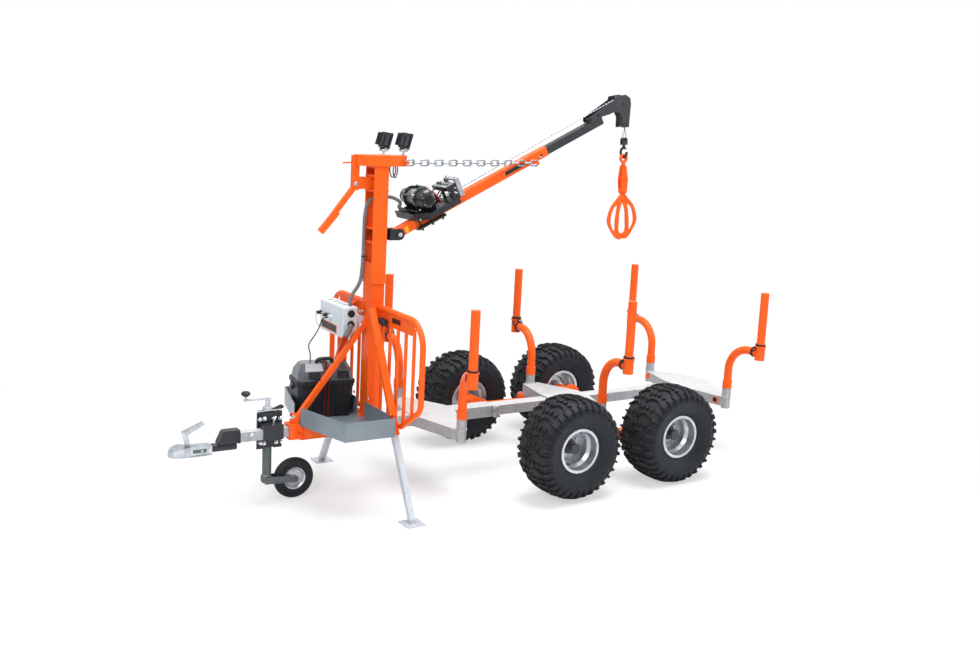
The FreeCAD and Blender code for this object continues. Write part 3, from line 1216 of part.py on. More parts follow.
def make_winch():
    """Winch motor, gear case and tie bars across the boom, with the drum between them."""
    x, z = -WINCH_REACH, WINCH_LIFT
    deck = BOOM_LIFT + BOOM_SIZE / 2 + TRAY_DECK

    def across(y0, y1, radius):
        return rod(V(x, y0, z), V(x, y1, z), radius)

    motor = spun([(0, -140), (30, -140), (38, -130), (38, -60), (58, -60), (58, -50), (0, -50)],
                 V(x, 0, z), Y_AXIS)
    gear = spun([(0, 50), (58, 50), (58, 60), (50, 62), (50, 112), (42, 122), (20, 126), (20, 132),
                 (0, 132)], V(x, 0, z), Y_AXIS)
    shaft = across(-52, 52, WINCH_SHAFT_R)
    solids = [motor, gear, shaft]
    for y in (-55, 55):
        solids.append(box(x - 54, x + 54, y - 5, y + 5, deck, z - 30))
    for dx, dz in ((-48, 40), (48, 40), (-50, -57), (50, -57)):
        solids.append(rod(V(x + dx, -58, z + dz), V(x + dx, 58, z + dz), 6))
    for y in (-55, 55):
        for dx in (-1, 1):
            solids.append(bar(V(x, y, z + 20), V(x + dx * 48, y, z + 40), 10, 16, side=Y_AXIS))
    add("winch_body", raised(joined(*solids)))
    bore = WINCH_SHAFT_R + PIN_GAP
    drum = [(bore, -46), (46, -46), (46, -42), (DRUM_R, -42), (DRUM_R, 42), (46, 42), (46, 46), (bore, 46)]
    add("winch_drum", raised(spun(drum, V(x, 0, z), Y_AXIS)))


def make_rope_guide():
    """The roller guide at the winch tray's end, with the relay box on its posts before it."""
    deck = BOOM_LIFT + BOOM_SIZE / 2 + TRAY_DECK
    x, reach = -GUIDE_REACH, GUIDE_DEPTH / 2
    sheet, post = 4, 8
    y0, y1 = (y + side * (ROLLER_R + sheet + 1) for y, side in zip(GUIDE_ROLLER_Y, (-1, 1)))
    low = deck + sheet
    parts = [box(x - reach, -WINCH_TRAY_REACH[1] + 30, y0, y1, deck, low),
             box(x - reach, x + reach, y0, y1, GUIDE_TOP - sheet, GUIDE_TOP)]
    for y in GUIDE_ROLLER_Y:
        parts.append(rod(V(x, y, low - 1), V(x, y, GUIDE_TOP - sheet + 1), ROLLER_R))
        parts.append(rod(V(x, y, GUIDE_TOP - 1), V(x, y, GUIDE_TOP + 7), 6))
    for wall in (y0, y1 - sheet):
        parts.append(box(x - reach, x + reach, wall, wall + sheet, low - 1, GUIDE_TOP - sheet + 1))
    roller_z = GUIDE_LIFT + ROPE_R + 0.3 + ROLLER_R
    parts.append(rod(V(x, y0 + 1, roller_z), V(x, y1 - 1, roller_z), ROLLER_R))
    parts.append(rod(V(x, y0 + 1, deck + 6), V(x, y1 - 1, deck + 6), 6))
    back = -RELAY_REACH[1]
    low_z, high_z = RELAY_LIFT
    for y in (y0 + 2, y1 - 2 - post):
        parts.append(box(back + 22, back + 38, y, y + post, low - 1, low_z + 1))
    case = box(back, -RELAY_REACH[0], *RELAY_Y, low_z, high_z)
    upright = [e for e in case.Edges if abs(e.Vertexes[0].Z - e.Vertexes[1].Z) > 1]
    parts.append(case.makeFillet(RELAY_ROUND, upright))
    add("rope_guide", raised(joined(*parts)))


def rope_seat():
    """Radius at which the rope runs round the pulley."""
    return PULLEY_R - PULLEY_GROOVE + ROPE_R + 0.6


def make_rope():
    """The taut rope from the drum under the guide roller and over the pulley, with its end loop."""
    sit, coil = rope_seat(), DRUM_R + ROPE_R + 0.6
    centre, drum = pulley_centre(), on_boom(WINCH_REACH, WINCH_LIFT)
    bend = on_boom(GUIDE_REACH, GUIDE_LIFT)
    start = drum + V(drum.z - bend.z, 0, bend.x - drum.x).normalize() * coil
    over = touch_point(bend, centre, sit)
    down = centre + V(-sit, 0, 0)
    rise = math.atan2(over.z - centre.z, over.x - centre.x)
    half_way = (rise + math.pi) / 2
    crown = centre + V(math.cos(half_way), 0, math.sin(half_way)) * sit
    first = path_wire([start, bend, (bend + over) * 0.5], 60)
    edges = first.Edges + [Part.makeLine((bend + over) * 0.5, over), Part.Arc(over, crown, down).toShape(),
                           Part.makeLine(down, V(down.x, 0, hook_top()))]
    circle = Part.Wire([Part.Circle(start, bend - start, ROPE_R).toShape()])
    rope = Part.Wire(edges).makePipeShell([circle], True, True)
    x, top, pin_z = hook_x(), hook_top(), hook_pin_z()
    w = THIMBLE_R + ROPE_R - 1
    ferrule = rod(V(x, 0, top + 1), V(x, 0, top - 20), 2 * ROPE_R)
    arms = [bent_rod([V(x, 0, top - 17), V(x + dx, 0, top - 38), V(x + dx, 0, pin_z)], ROPE_R, 12)
            for dx in (w, -w)]
    thimble = pipe(V(x, -3.5, pin_z), V(x, 3.5, pin_z), THIMBLE_R + ROPE_R + 1, HOOK_PIN_R + PIN_GAP)
    add("winch_rope", joined(rope, ferrule, *arms, thimble))


def touch_point(start, centre, radius):
    """Where the line from the start point meets the top of a circle in the XZ plane."""
    run = centre - start
    lean = math.asin(radius / run.Length)
    angle = math.atan2(run.z, run.x) - lean
    reach = run.Length * math.cos(lean)
    return start + V(math.cos(angle), 0, math.sin(angle)) * reach


def hook_top():
    """Height at which the rope ends in the hook's loop."""
    return pulley_centre().z - ROPE_DROP


def hook_x():
    """X of the rope that hangs from the pulley."""
    return pulley_centre().x - rope_seat()


# ---------------------------------------------------------------- hook and tongs
def hook_pin_z():
    """Height of the pin on which the hook swings in the rope's loop."""
    return hook_top() - HOOK_PIN_DROP


def leaned(shape):
    """The shape turned with the hook about its pin."""
    turn = FreeCAD.Rotation(Y_AXIS, HANG_LEAN)
    return placed(shape, FreeCAD.Placement(V(0, 0, 0), turn, V(hook_x(), 0, hook_pin_z())))


def make_hook():
    """The forked hook that carries the tongs."""
    x, pin_z = hook_x(), hook_pin_z()
    pin = rod(V(x, -22, pin_z), V(x, 22, pin_z), HOOK_PIN_R)
    w, foot = 18, pin_z - 30
    cheek = [(x - w, foot), (x + w, foot), (x + w, pin_z + 2), (x + w - 7, pin_z + 12),
             (x - w + 7, pin_z + 12), (x - w, pin_z + 2)]
    parts = [pin, box(x - w, x + w, -13, 13, foot, foot + 12)]
    for _, side in SIDES:
        parts.append(sheet_y(cheek, *sorted((side * 5.5, side * 13))))
    ring_z = pin_z - HOOK_RING_DROP
    bow = Part.makeTorus(HOOK_BOW_R, HOOK_WIRE_R, V(x, 0, ring_z), X_AXIS)
    mouth = box(x - 20, x + 20, 8, 50, ring_z + 6, ring_z + 21)
    neck = rod(V(x, 0, ring_z + HOOK_BOW_R), V(x, 0, foot + 1), 9)
    add("lifting_hook", leaned(joined(*parts, neck, bow.cut(mouth))))


def hanger_eye_z():
    """Height of the middle of the hanger's eye, resting in the hook."""
    inner_low = hook_pin_z() - HOOK_RING_DROP - HOOK_BOW_R + HOOK_WIRE_R
    return inner_low - HANGER_EYE_BORE + 1.4


def make_hanger():
    """The two-cheeked hanger with its eye in the hook."""
    x = hook_x()
    eye_z = hanger_eye_z()
    pivot_z = eye_z - HANGER_DROP
    inner = TONGS_SHEET + 1.5
    outline = [(x - 18, pivot_z - 12), (x + 18, pivot_z - 12), (x + 24, pivot_z + 60),
               (x + 22, pivot_z + 84), (x + 10, pivot_z + 150), (x - 10, pivot_z + 150),
               (x - 22, pivot_z + 84), (x - 24, pivot_z + 60)]
    parts = []
    for _, side in SIDES:
        y0, y1 = sorted((side * inner, side * (inner + 5)))
        parts.append(sheet_y(outline, y0, y1))
    spacer = box(x - 10, x + 10, -inner - 1, inner + 1, pivot_z + 130, pivot_z + 150)
    stem = box(x - 9, x + 9, -7, 7, pivot_z + 148, eye_z - HANGER_EYE_R + 6)
    eye = pipe(V(x, -7, eye_z), V(x, 7, eye_z), HANGER_EYE_R, HANGER_EYE_BORE)
    parts += [spacer, stem, eye]
    out = inner + 12
    for dx, dz in ((0, 140), (12, 76), (-12, 76)):
        parts.append(rod(V(x + dx, -out, pivot_z + dz), V(x + dx, out, pivot_z + dz), 7))
    parts.append(rod(V(x, -out, pivot_z), V(x, out, pivot_z), TONGS_PIN_R - PIN_GAP))
    add("tongs_hanger", leaned(joined(*parts)))


def jaw_outline():
    """The jaw's outline about its pivot: outer curve down to the point, inner curve back."""
    outer = [(10, -9), (46, -46), (85, -88), (109, -141), (114, -175), (102, -210), (80, -244), (51, -278),
             (26, -290), (6, -283)]
    inner = [(6, -256), (28, -242), (33, -215), (31, -187), (29, -141), (17, -88), (-3, -48), (-12, -14)]
    return outer, inner


def make_jaws():
    """Two crossed timber jaws, each with a window."""
    x, pivot_z = hook_x(), hanger_eye_z() - HANGER_DROP
    outer, inner = jaw_outline()
    window = [(39, -80), (70, -99), (90, -149), (92, -187), (80, -217), (60, -240), (55, -202), (53, -164),
              (46, -118)]
    for name, side in (("front", 1), ("rear", -1)):
        y0, y1 = (0.5, TONGS_SHEET) if side > 0 else (-TONGS_SHEET, -0.5)

        def at(points):
            return [V(x + side * dx, y0, pivot_z + dz) for dx, dz in points]

        edges = [curve(at(outer)), Part.makeLine(*at([outer[-1], inner[0]])), curve(at(inner)),
                 Part.makeLine(*at([inner[-1], outer[0]]))]
        depth = V(0, y1 - y0, 0)
        jaw = Part.Face(Part.Wire(edges)).extrude(depth)
        ring = curve(at(window + [window[0]]))
        jaw = jaw.cut(Part.Face(Part.Wire([ring])).extrude(depth))
        jaw = jaw.fuse(rod(V(x, y0, pivot_z), V(x, y1, pivot_z), 20))
        bore = rod(V(x, -30, pivot_z), V(x, 30, pivot_z), TONGS_PIN_R)
        add("tongs_jaw_" + name, leaned(jaw.cut(bore)))


# ---------------------------------------------------------------- cables
def make_cables():
    """The winch's conduit in its two lengths, the lamps' leads and the battery's lead."""
    box_x, box_y, box_z = (CONTROL_X[0] + CONTROL_X[1]) / 2 - 16, CONTROL_Y[1] - 41, CONTROL_Z[1]
    front, through = MAST_X[1] + 16, -CONDUIT_Y
    low = [V(box_x, box_y, box_z), V(box_x, box_y, box_z + 48), V(front + 6, through - 10, box_z + 128),
           V(front, through - 2, CHANNEL_OPEN_Z + 5), V(front, through, LUFF_Z + 1),
           V(front - 1, through, LUFF_Z + 101), V(MAST_X[1] + 2, through, LUFF_Z + 166),
           V(SLEW_X + 1, through, LUFF_Z + 195), V(MAST_X[0], through, LUFF_Z + 199)]
    add("conduit_mast", cable(low, CONDUIT_R))
    deck = BOOM_LIFT + BOOM_SIZE / 2 + TRAY_DECK
    end_y = -CONDUIT_Y - 42
    high = [V(MAST_X[0] - 7, through, LUFF_Z + 199.5), V(MAST_X[0] - 29, through, LUFF_Z + 197),
            V(LUFF_X + 8, through - 2, LUFF_Z + 188), V(LUFF_X - 35, through - 12, LUFF_Z + 164),
            on_boom(WINCH_TRAY_REACH[0] - 12, deck + 66, end_y),
            on_boom(WINCH_TRAY_REACH[0] + 12, deck + 44, end_y - 4),
            on_boom(WINCH_TRAY_REACH[0] + 26, deck + 30, end_y - 4)]
    add("conduit_boom", cable(high, CONDUIT_R))
    head_low = MAST_TOP_Z + 1
    rear = HEAD_REAR_X
    leads = []
    for y in (-10, 10):
        loop = [V(rear + 49, y, head_low + HEAD_HEIGHT - HEAD_SHEET - 1), V(rear + 46, y, MAST_TOP_Z - 37),
                V(rear + 60, y * 1.5, MAST_TOP_Z - 69), V(rear + 78, y * 2, MAST_TOP_Z - 33),
                V(rear + 68, y * 2, head_low + 44)]
        leads.append(cable(loop, LEAD_R))
    add("lamp_wires", apart(leads))
    plug = V(CONTROL_X[1] + 22.6, (CONTROL_Y[0] + CONTROL_Y[1]) / 2 + 12,
             (CONTROL_Z[0] + CONTROL_Z[1]) / 2 + 10)
    lid = battery_placement().multVec(V(62, -16, BATTERY_TOP_Z))
    run = [plug, plug + V(34, 0, -6), plug + V(58, 4, -70), V(lid.x + 16, lid.y, lid.z + 90),
           V(lid.x, lid.y, lid.z + 40), lid]
    add("box_lead", cable(run, LEAD_R))


# ---------------------------------------------------------------- all pieces
def build_all():
    """Every piece in the trailer's frame."""
    make_wheels()
    make_bogies()
    make_main_beam()
    make_bunks()
    make_stakes()
    make_crane_base()
    make_legs()
    make_tray()
    make_headboard()
    make_battery_box()
    make_control_box()
    make_mast()
    make_braces()
    make_drawbar()
    make_coupler()
    make_jockey_clamp()
    make_jockey_tube()
    make_jockey_wheel()
    make_slew_head()
    make_lamps()
    make_clevis()
    make_boom()
    make_boom_head()
    make_chain()
    make_winch_tray()
    make_winch()
    make_rope_guide()
    make_rope()
    make_hook()
    make_hanger()
    make_jaws()
    make_cables()


def write_all():
    """Each piece to its own file, with the ball socket's centre at the origin."""
    os.makedirs("parts", exist_ok=True)
    for name, shape in PIECES.items():
        moved = placed(shape, FreeCAD.Placement(V(-BALL_X, 0, -BALL_Z), FreeCAD.Rotation()))
        moved.exportStep("parts/%s.step" % name)
    print("%d pieces written" % len(PIECES))


build_all()
write_all()
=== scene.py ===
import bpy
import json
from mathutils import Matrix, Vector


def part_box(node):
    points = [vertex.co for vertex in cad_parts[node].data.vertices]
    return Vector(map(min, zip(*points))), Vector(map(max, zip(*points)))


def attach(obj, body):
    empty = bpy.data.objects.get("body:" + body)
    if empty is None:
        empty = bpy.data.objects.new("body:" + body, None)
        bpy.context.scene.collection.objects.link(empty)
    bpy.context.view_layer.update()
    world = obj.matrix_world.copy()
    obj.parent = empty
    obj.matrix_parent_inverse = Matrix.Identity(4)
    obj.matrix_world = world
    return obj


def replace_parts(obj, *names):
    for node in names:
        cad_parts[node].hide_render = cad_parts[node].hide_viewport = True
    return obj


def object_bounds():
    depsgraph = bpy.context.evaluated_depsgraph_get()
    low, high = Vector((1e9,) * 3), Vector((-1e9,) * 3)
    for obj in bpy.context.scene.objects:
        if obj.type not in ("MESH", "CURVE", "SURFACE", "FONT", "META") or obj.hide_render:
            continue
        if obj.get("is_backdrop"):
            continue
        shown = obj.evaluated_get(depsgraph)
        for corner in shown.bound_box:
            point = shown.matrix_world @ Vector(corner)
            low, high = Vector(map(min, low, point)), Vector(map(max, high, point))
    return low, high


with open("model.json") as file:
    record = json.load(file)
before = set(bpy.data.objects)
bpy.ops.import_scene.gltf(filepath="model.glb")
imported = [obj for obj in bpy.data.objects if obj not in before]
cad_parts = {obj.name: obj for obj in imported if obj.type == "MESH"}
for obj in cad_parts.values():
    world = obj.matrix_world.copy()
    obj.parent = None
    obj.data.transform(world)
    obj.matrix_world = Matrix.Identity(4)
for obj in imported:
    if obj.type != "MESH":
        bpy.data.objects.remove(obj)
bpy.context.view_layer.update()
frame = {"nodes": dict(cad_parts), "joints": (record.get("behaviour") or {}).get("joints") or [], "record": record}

import json
import math

import bmesh
import bpy
from mathutils import Matrix, Vector

X = Vector((1, 0, 0))
Y = Vector((0, 1, 0))
Z = Vector((0, 0, 1))
move = Matrix.Translation
NODES = frame["nodes"]
SIDES = (("left", 1), ("right", -1))
ENDS = ("front", "rear")
JOINTS = {joint["name"]: joint for joint in frame["joints"]}


# ---- places
def centre_of(name):
    """The middle of a CAD node's box."""
    low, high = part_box(name)
    return (low + high) / 2


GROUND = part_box("tyre_front_left")[0].z
BOGIE_X = (centre_of("tyre_front_left").x + centre_of("tyre_rear_left").x) / 2
BOOM_ANGLE = math.radians(26.1)
BOOM_ALONG = Vector((-math.cos(BOOM_ANGLE), 0, math.sin(BOOM_ANGLE)))
BOOM_UP = Vector((math.sin(BOOM_ANGLE), 0, math.cos(BOOM_ANGLE)))
BOOM_PIVOT = Vector(JOINTS["boom_luff"]["pos_m"])


def at(x, y, z):
    """A place in millimetres from the ground below the bogie's middle: forward, left and up."""
    return Vector((BOGIE_X + x / 1000, y / 1000, GROUND + z / 1000))


def on_boom(reach, lift, y=0.0):
    """A place in millimetres along and above the boom, from its pivot."""
    return BOOM_PIVOT + (BOOM_ALONG * reach + BOOM_UP * lift + Y * y) / 1000


def boom_spot(point):
    """Reach and lift of a point over the boom, in millimetres."""
    away = (point - BOOM_PIVOT) * 1000
    return away.dot(BOOM_ALONG), away.dot(BOOM_UP)


def basis(axis, across=None):
    """A turn that takes Z to the axis, and X as near as can be to the second direction."""
    axis = Vector(axis).normalized()
    if across is None:
        return Z.rotation_difference(axis).to_matrix().to_4x4()
    side = (Vector(across) - axis * axis.dot(Vector(across))).normalized()
    return Matrix((side, axis.cross(side), axis)).transposed().to_4x4()


def turned(axis, degrees):
    """A turn about X, Y or Z."""
    return Matrix.Rotation(math.radians(degrees), 4, axis)


# ---- mesh helpers
def link(name, mesh, material):
    """A new object of the mesh with the material."""
    piece = bpy.data.objects.new(name, mesh)
    bpy.context.scene.collection.objects.link(piece)
    mesh.materials.append(material)
    return piece


def smooth_by(mesh, degrees):
    """Smooth a mesh, apart from edges sharper than the angle."""
    for polygon in mesh.polygons:
        polygon.use_smooth = True
    mesh.set_sharp_from_angle(angle=math.radians(degrees))


def mesh_piece(name, bm, look, body="chassis", smooth=35.0):
    """Turn a bmesh into a piece that rides on its body, with its look's material."""
    bmesh.ops.recalc_face_normals(bm, faces=bm.faces)
    mesh = bpy.data.meshes.new(name)
    bm.to_mesh(mesh)
    bm.free()
    piece = link(name, mesh, MATERIALS[look])
    smooth_by(mesh, smooth)
    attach(piece, body)
    return piece


def add_to(bm, other):
    """Copy one bmesh into another and free it."""
    mesh = bpy.data.meshes.new("part")
    other.to_mesh(mesh)
    other.free()
    bm.from_mesh(mesh)
    bpy.data.meshes.remove(mesh)


def circle(place, radius, along, steps, turn=0.0):
    """Points of a circle about the Z axis of a place matrix."""
    angles = [2 * math.pi * i / steps + turn for i in range(steps)]
    return [place @ Vector((radius * math.cos(a), radius * math.sin(a), along)) for a in angles]


def ring_faces(bm, a, b):
    """The faces between two rings of points; a ring of one point is a tip."""
    steps = max(len(a), len(b))
    for i in range(steps):
        j = (i + 1) % steps
        if len(a) == 1:
            bm.faces.new((a[0], b[j], b[i]))
        elif len(b) == 1:
            bm.faces.new((a[i], a[j], b[0]))
        else:
            bm.faces.new((a[i], a[j], b[j], b[i]))


def skin(bm, rows, closed=False, ends=False):
    """A surface over rows of points, each a ring; closed joins the last to the first, ends caps both."""
    rings = [[bm.verts.new(point) for point in row] for row in rows]
    pairs = list(zip(rings, rings[1:]))
    if closed:
        pairs.append((rings[-1], rings[0]))
    for a, b in pairs:
        ring_faces(bm, a, b)
    if ends:
        bm.faces.new(list(reversed(rings[0])))
        bm.faces.new(rings[-1])
    return rings


def lathe(bm, outline, centre, axis, steps=32, closed=False):
    """A surface of revolution from (radius, along) points in metres; radius 0 closes at the axis."""
    place = move(centre) @ basis(axis)
    rows = []
    for radius, along in outline:
        tip = radius < 1e-6
        rows.append([place @ Vector((0, 0, along))] if tip else circle(place, radius, along, steps))
    skin(bm, rows, closed)


def block(bm, place, size, bevel=0.001):
    """A block with bevelled edges, its middle at a point or a place matrix."""
    if isinstance(place, Vector):
        place = move(place)
    other = bmesh.new()
    bmesh.ops.create_cube(other, size=1.0)
    bmesh.ops.scale(other, vec=size, verts=other.verts)
    bmesh.ops.bevel(other, geom=list(other.edges), offset=bevel, segments=2, affect="EDGES")
    other.transform(place)
    add_to(bm, other)


def smooth_path(points, parts=6):
    """Points of a smooth curve through the given ones."""
    points = [Vector(p) for p in points]
    path = []
    for i, (p1, p2) in enumerate(zip(points, points[1:])):
        p0 = points[i - 1] if i else p1 * 2 - p2
        p3 = points[i + 2] if i + 2 < len(points) else p2 * 2 - p1
        for k in range(parts):
            t = k / parts
            path.append(0.5 * (2 * p1 + (p2 - p0) * t + (2 * p0 - 5 * p1 + 4 * p2 - p3) * t * t
                               + (3 * p1 - p0 - 3 * p2 + p3) * t ** 3))
    path.append(points[-1])
    return path


def tube(bm, points, radius, steps=12, closed=False, ripple=0.0):
    """A round tube along the points; a ripple makes it swell and shrink as a weld bead does."""
    points = [Vector(p) for p in points]
    count = len(points)
    rows = []
    side = None
    for i, point in enumerate(points):
        before = points[i - 1] if (i or closed) else point
        after = points[(i + 1) % count] if (i < count - 1 or closed) else point
        run = (after - before).normalized()
        side = run.orthogonal() if side is None else side - run * side.dot(run)
        side.normalize()
        place = Matrix((side, run.cross(side), run)).transposed().to_4x4()
        wide = radius * (1 + ripple * (1 if i % 2 else -1))
        rows.append(circle(move(point) @ place, wide, 0, steps))
    skin(bm, rows, closed, ends=not closed)


def strip(bm, path, width, thick, across):
    """A flat band along the path, its width along the given direction."""
    path = [Vector(p) for p in path]
    across = Vector(across).normalized()
    half = across * width / 2
    rows = []
    for i, point in enumerate(path):
        run = (path[min(i + 1, len(path) - 1)] - path[max(i - 1, 0)]).normalized()
        lift = run.cross(across).normalized() * thick / 2
        rows.append([point - half - lift, point + half - lift, point + half + lift, point - half + lift])
    skin(bm, rows, ends=True)


def loop_band(bm, centre, axis, radius, width, thick, steps=28):
    """A band round a post."""
    half = width / 2
    lathe(bm, [(radius, -half), (radius + thick, -half + thick * 0.3),
               (radius + thick, half - thick * 0.3), (radius, half)], centre, axis, steps)


def bolt(bm, place, axis, size=8.0, reach=6.0):
    """A hexagon head on its washer, standing on a face; sizes in millimetres."""
    size, reach = size / 1000, reach / 1000
    collar = size * 0.18
    lathe(bm, [(size * 1.2, 0), (size * 1.2, collar), (0, collar)], place, axis, 18)
    turn = move(Vector(place)) @ basis(axis)
    rings = skin(bm, [circle(turn, size * wide, lift, 6, 0.3)
                      for wide, lift in ((1.0, collar), (1.0, reach * 0.85), (0.84, reach))])
    bm.faces.new(rings[-1])


BEAD = 0.0028        # radius of a weld bead
BEAD_STEP = 0.0045   # from swell to swell
BEAD_RIPPLE = 0.13


def weld(bm, a, b):
    """A weld bead between two points."""
    a, b = Vector(a), Vector(b)
    count = max(3, int((b - a).length / BEAD_STEP))
    tube(bm, [a + (b - a) * k / count for k in range(count + 1)], BEAD, 6, ripple=BEAD_RIPPLE)


def ring_weld(bm, centre, axis, radius, bead=BEAD):
    """A weld bead round a tube."""
    count = max(16, int(2 * math.pi * radius / BEAD_STEP) // 2 * 2)
    points = circle(move(Vector(centre)) @ basis(axis), radius, 0, count)
    tube(bm, points, bead, 6, closed=True, ripple=BEAD_RIPPLE)


# ---- materials
def node(tree, kind, **values):
    """A new shader node with its inputs set by name."""
    made = tree.nodes.new(kind)
    for key, value in values.items():
        made.inputs[key].default_value = value
    return made


def wire(tree, source, target):
    """A link between two sockets."""
    tree.links.new(source, target)


def new_material(name, colour, roughness, metallic=0.0, coat=0.0, specular=0.5):
    """A principled material with its uniform values on its own sockets, its tree and its shader."""
    material = bpy.data.materials.new(name)
    material.use_nodes = True
    shader = material.node_tree.nodes["Principled BSDF"]
    for key, value in (("Base Color", (*colour, 1)), ("Roughness", roughness), ("Metallic", metallic),
                       ("Coat Weight", coat), ("Coat Roughness", 0.15), ("Specular IOR Level", specular)):
        shader.inputs[key].default_value = value
    return material, material.node_tree, shader


def own_place(tree, stretch=None):
    """The object's own coordinates, stretched or not."""
    source = node(tree, "ShaderNodeTexCoord").outputs["Object"]
    if stretch is None:
        return source
    mapping = node(tree, "ShaderNodeMapping", Scale=stretch)
    wire(tree, source, mapping.inputs["Vector"])
    return mapping.outputs["Vector"]


def grain(tree, scale, detail=3.0, stretch=None):
    """Noise over the object's own coordinates."""
    made = node(tree, "ShaderNodeTexNoise", Scale=scale, Detail=detail)
    wire(tree, own_place(tree, stretch), made.inputs["Vector"])
    return made.outputs["Fac"]


def cells(tree, scale):
    """The random tone of Voronoi cells over the object's own coordinates."""
    made = node(tree, "ShaderNodeTexVoronoi", Scale=scale)
    wire(tree, own_place(tree), made.inputs["Vector"])
    return made.outputs["Color"]


def spread(tree, fac, low, high, first=0.3, last=0.7):
    """A ramp between two grey or coloured values."""
    ramp = node(tree, "ShaderNodeValToRGB")
    for element, position, value in zip(ramp.color_ramp.elements, (first, last), (low, high)):
        element.position = position
        element.color = (*value, 1) if hasattr(value, "__len__") else (value, value, value, 1)
    wire(tree, fac, ramp.inputs["Fac"])
    return ramp.outputs["Color"]


def mixed(tree, fac, first, second, kind="MIX"):
    """Two colours mixed by the factor."""
    made = node(tree, "ShaderNodeMix")
    made.data_type = "RGBA"
    made.blend_type = kind
    if isinstance(fac, float):
        made.inputs["Factor"].default_value = fac
    else:
        wire(tree, fac, made.inputs["Factor"])
    wire(tree, first, made.inputs["A"])
    wire(tree, second, made.inputs["B"])
    return made.outputs["Result"]


def bump(tree, shader, height, strength, distance):
    """A bump on the shader's normal."""
    made = node(tree, "ShaderNodeBump", Strength=strength, Distance=distance)
    wire(tree, height, made.inputs["Height"])
    wire(tree, made.outputs["Normal"], shader.inputs["Normal"])


def surface(tree, shader, tone, roughness, height, strength, distance=0.0006):
    """Give the shader its tone, its roughness and its bump."""
    wire(tree, tone, shader.inputs["Base Color"])
    wire(tree, roughness, shader.inputs["Roughness"])
    bump(tree, shader, height, strength, distance)


def orange_paint():
    """Powder coat with slight orange peel, faintly darker where dust lies."""
    material, tree, shader = new_material("orange_paint", (0.92, 0.12, 0.012), 0.4, coat=0.06,
                                          specular=0.16)
    tone = spread(tree, grain(tree, 2.5, 6.0), (0.86, 0.105, 0.009), (0.96, 0.130, 0.013), 0.25, 0.75)
    specks = spread(tree, grain(tree, 260.0, 2.0), 0.88, 1.0, 0.28, 0.42)
    surface(tree, shader, mixed(tree, 1.0, tone, specks, "MULTIPLY"),
            spread(tree, grain(tree, 9.0, 6.0), 0.30, 0.46), grain(tree, 420.0, 2.0), 0.10)
    return material


def zinc_coat(name, low, high, metallic, roughness, streaks, painted_top_light=0.0):
    """Hot-dip zinc with its spangle, duller streaks that run down, and upward faces made paler by painted top
    light.
    """
    material, tree, shader = new_material(name, low, roughness[0], metallic)
    spangle = spread(tree, cells(tree, 95.0), low, high, 0.1, 0.9)
    runs = spread(tree, grain(tree, 16.0, 8.0, (1.0, 1.0, 0.18)), 1.0 - streaks, 1.0)
    coat = mixed(tree, 1.0, spangle, runs, "MULTIPLY")
    # upward faces are mixed towards a pale grey: painted top light
    split = node(tree, "ShaderNodeSeparateXYZ")
    wire(tree, node(tree, "ShaderNodeTexCoord").outputs["Normal"], split.inputs[0])
    upward = spread(tree, split.outputs["Z"], 0.0, painted_top_light, 0.55, 0.95)
    pale = spread(tree, grain(tree, 22.0, 6.0), 0.60, 0.72)
    surface(tree, shader, mixed(tree, upward, coat, pale),
            spread(tree, grain(tree, 7.0, 8.0), *roughness), grain(tree, 60.0, 6.0), 0.14, 0.0012)
    return material


def painted(name, low, high, roughness=(0.35, 0.5), peel=260.0, coat=0.0, specular=0.4, dust=0.0):
    """Paint or plastic with a slight change of tone, a fine grain and a little dust in patches."""
    material, tree, shader = new_material(name, low, roughness[0], 0.0, coat, specular)
    tone = spread(tree, grain(tree, 5.0, 6.0), low, high)
    if dust:
        pale = [0.25 + 0.75 * value for value in high]
        powder = spread(tree, grain(tree, 38.0, 9.0), 0.0, dust, 0.52, 0.8)
        tone = mixed(tree, powder, tone, spread(tree, grain(tree, 9.0, 2.0), pale, pale))
    surface(tree, shader, tone, spread(tree, grain(tree, 14.0, 5.0), *roughness), grain(tree, peel, 3.0),
            0.12)
    return material


def rubber(name, low, high, roughness, scale, strength):
    """Black rubber, a little paler where it is dusty, with a fine grain."""
    material, tree, shader = new_material(name, low, roughness[0], specular=0.22)
    tone = spread(tree, grain(tree, scale, 8.0), low, high)
    scuff = spread(tree, grain(tree, scale * 9.0, 4.0), 0.72, 1.0, 0.3, 0.6)
    surface(tree, shader, mixed(tree, 1.0, tone, scuff, "MULTIPLY"),
            spread(tree, grain(tree, scale * 2.2, 6.0), *roughness), grain(tree, scale * 12.0, 6.0),
            strength, 0.0012)
    return material


def metal(name, low, high, roughness, scale=40.0, metallic=1.0):
    """Bare or plated metal with a soft change of tone."""
    material, tree, shader = new_material(name, low, roughness[0], metallic)
    surface(tree, shader, spread(tree, grain(tree, scale, 6.0), low, high),
            spread(tree, grain(tree, scale * 1.7, 4.0), *roughness), grain(tree, scale * 5.0, 3.0), 0.06)
    return material


def rope_steel():
    """Laid wire rope, with its strands as slanting bands."""
    material, tree, shader = new_material("rope_steel", (0.5, 0.51, 0.53), 0.4, metallic=0.85)
    bands = node(tree, "ShaderNodeTexWave", Scale=60.0, Distortion=1.0)
    bands.bands_direction = "DIAGONAL"
    wire(tree, own_place(tree), bands.inputs["Vector"])
    strands = spread(tree, bands.outputs["Fac"], (0.16, 0.17, 0.19), (0.44, 0.46, 0.49))
    wire(tree, strands, shader.inputs["Base Color"])
    bump(tree, shader, bands.outputs["Fac"], 0.4, 0.001)
    return material


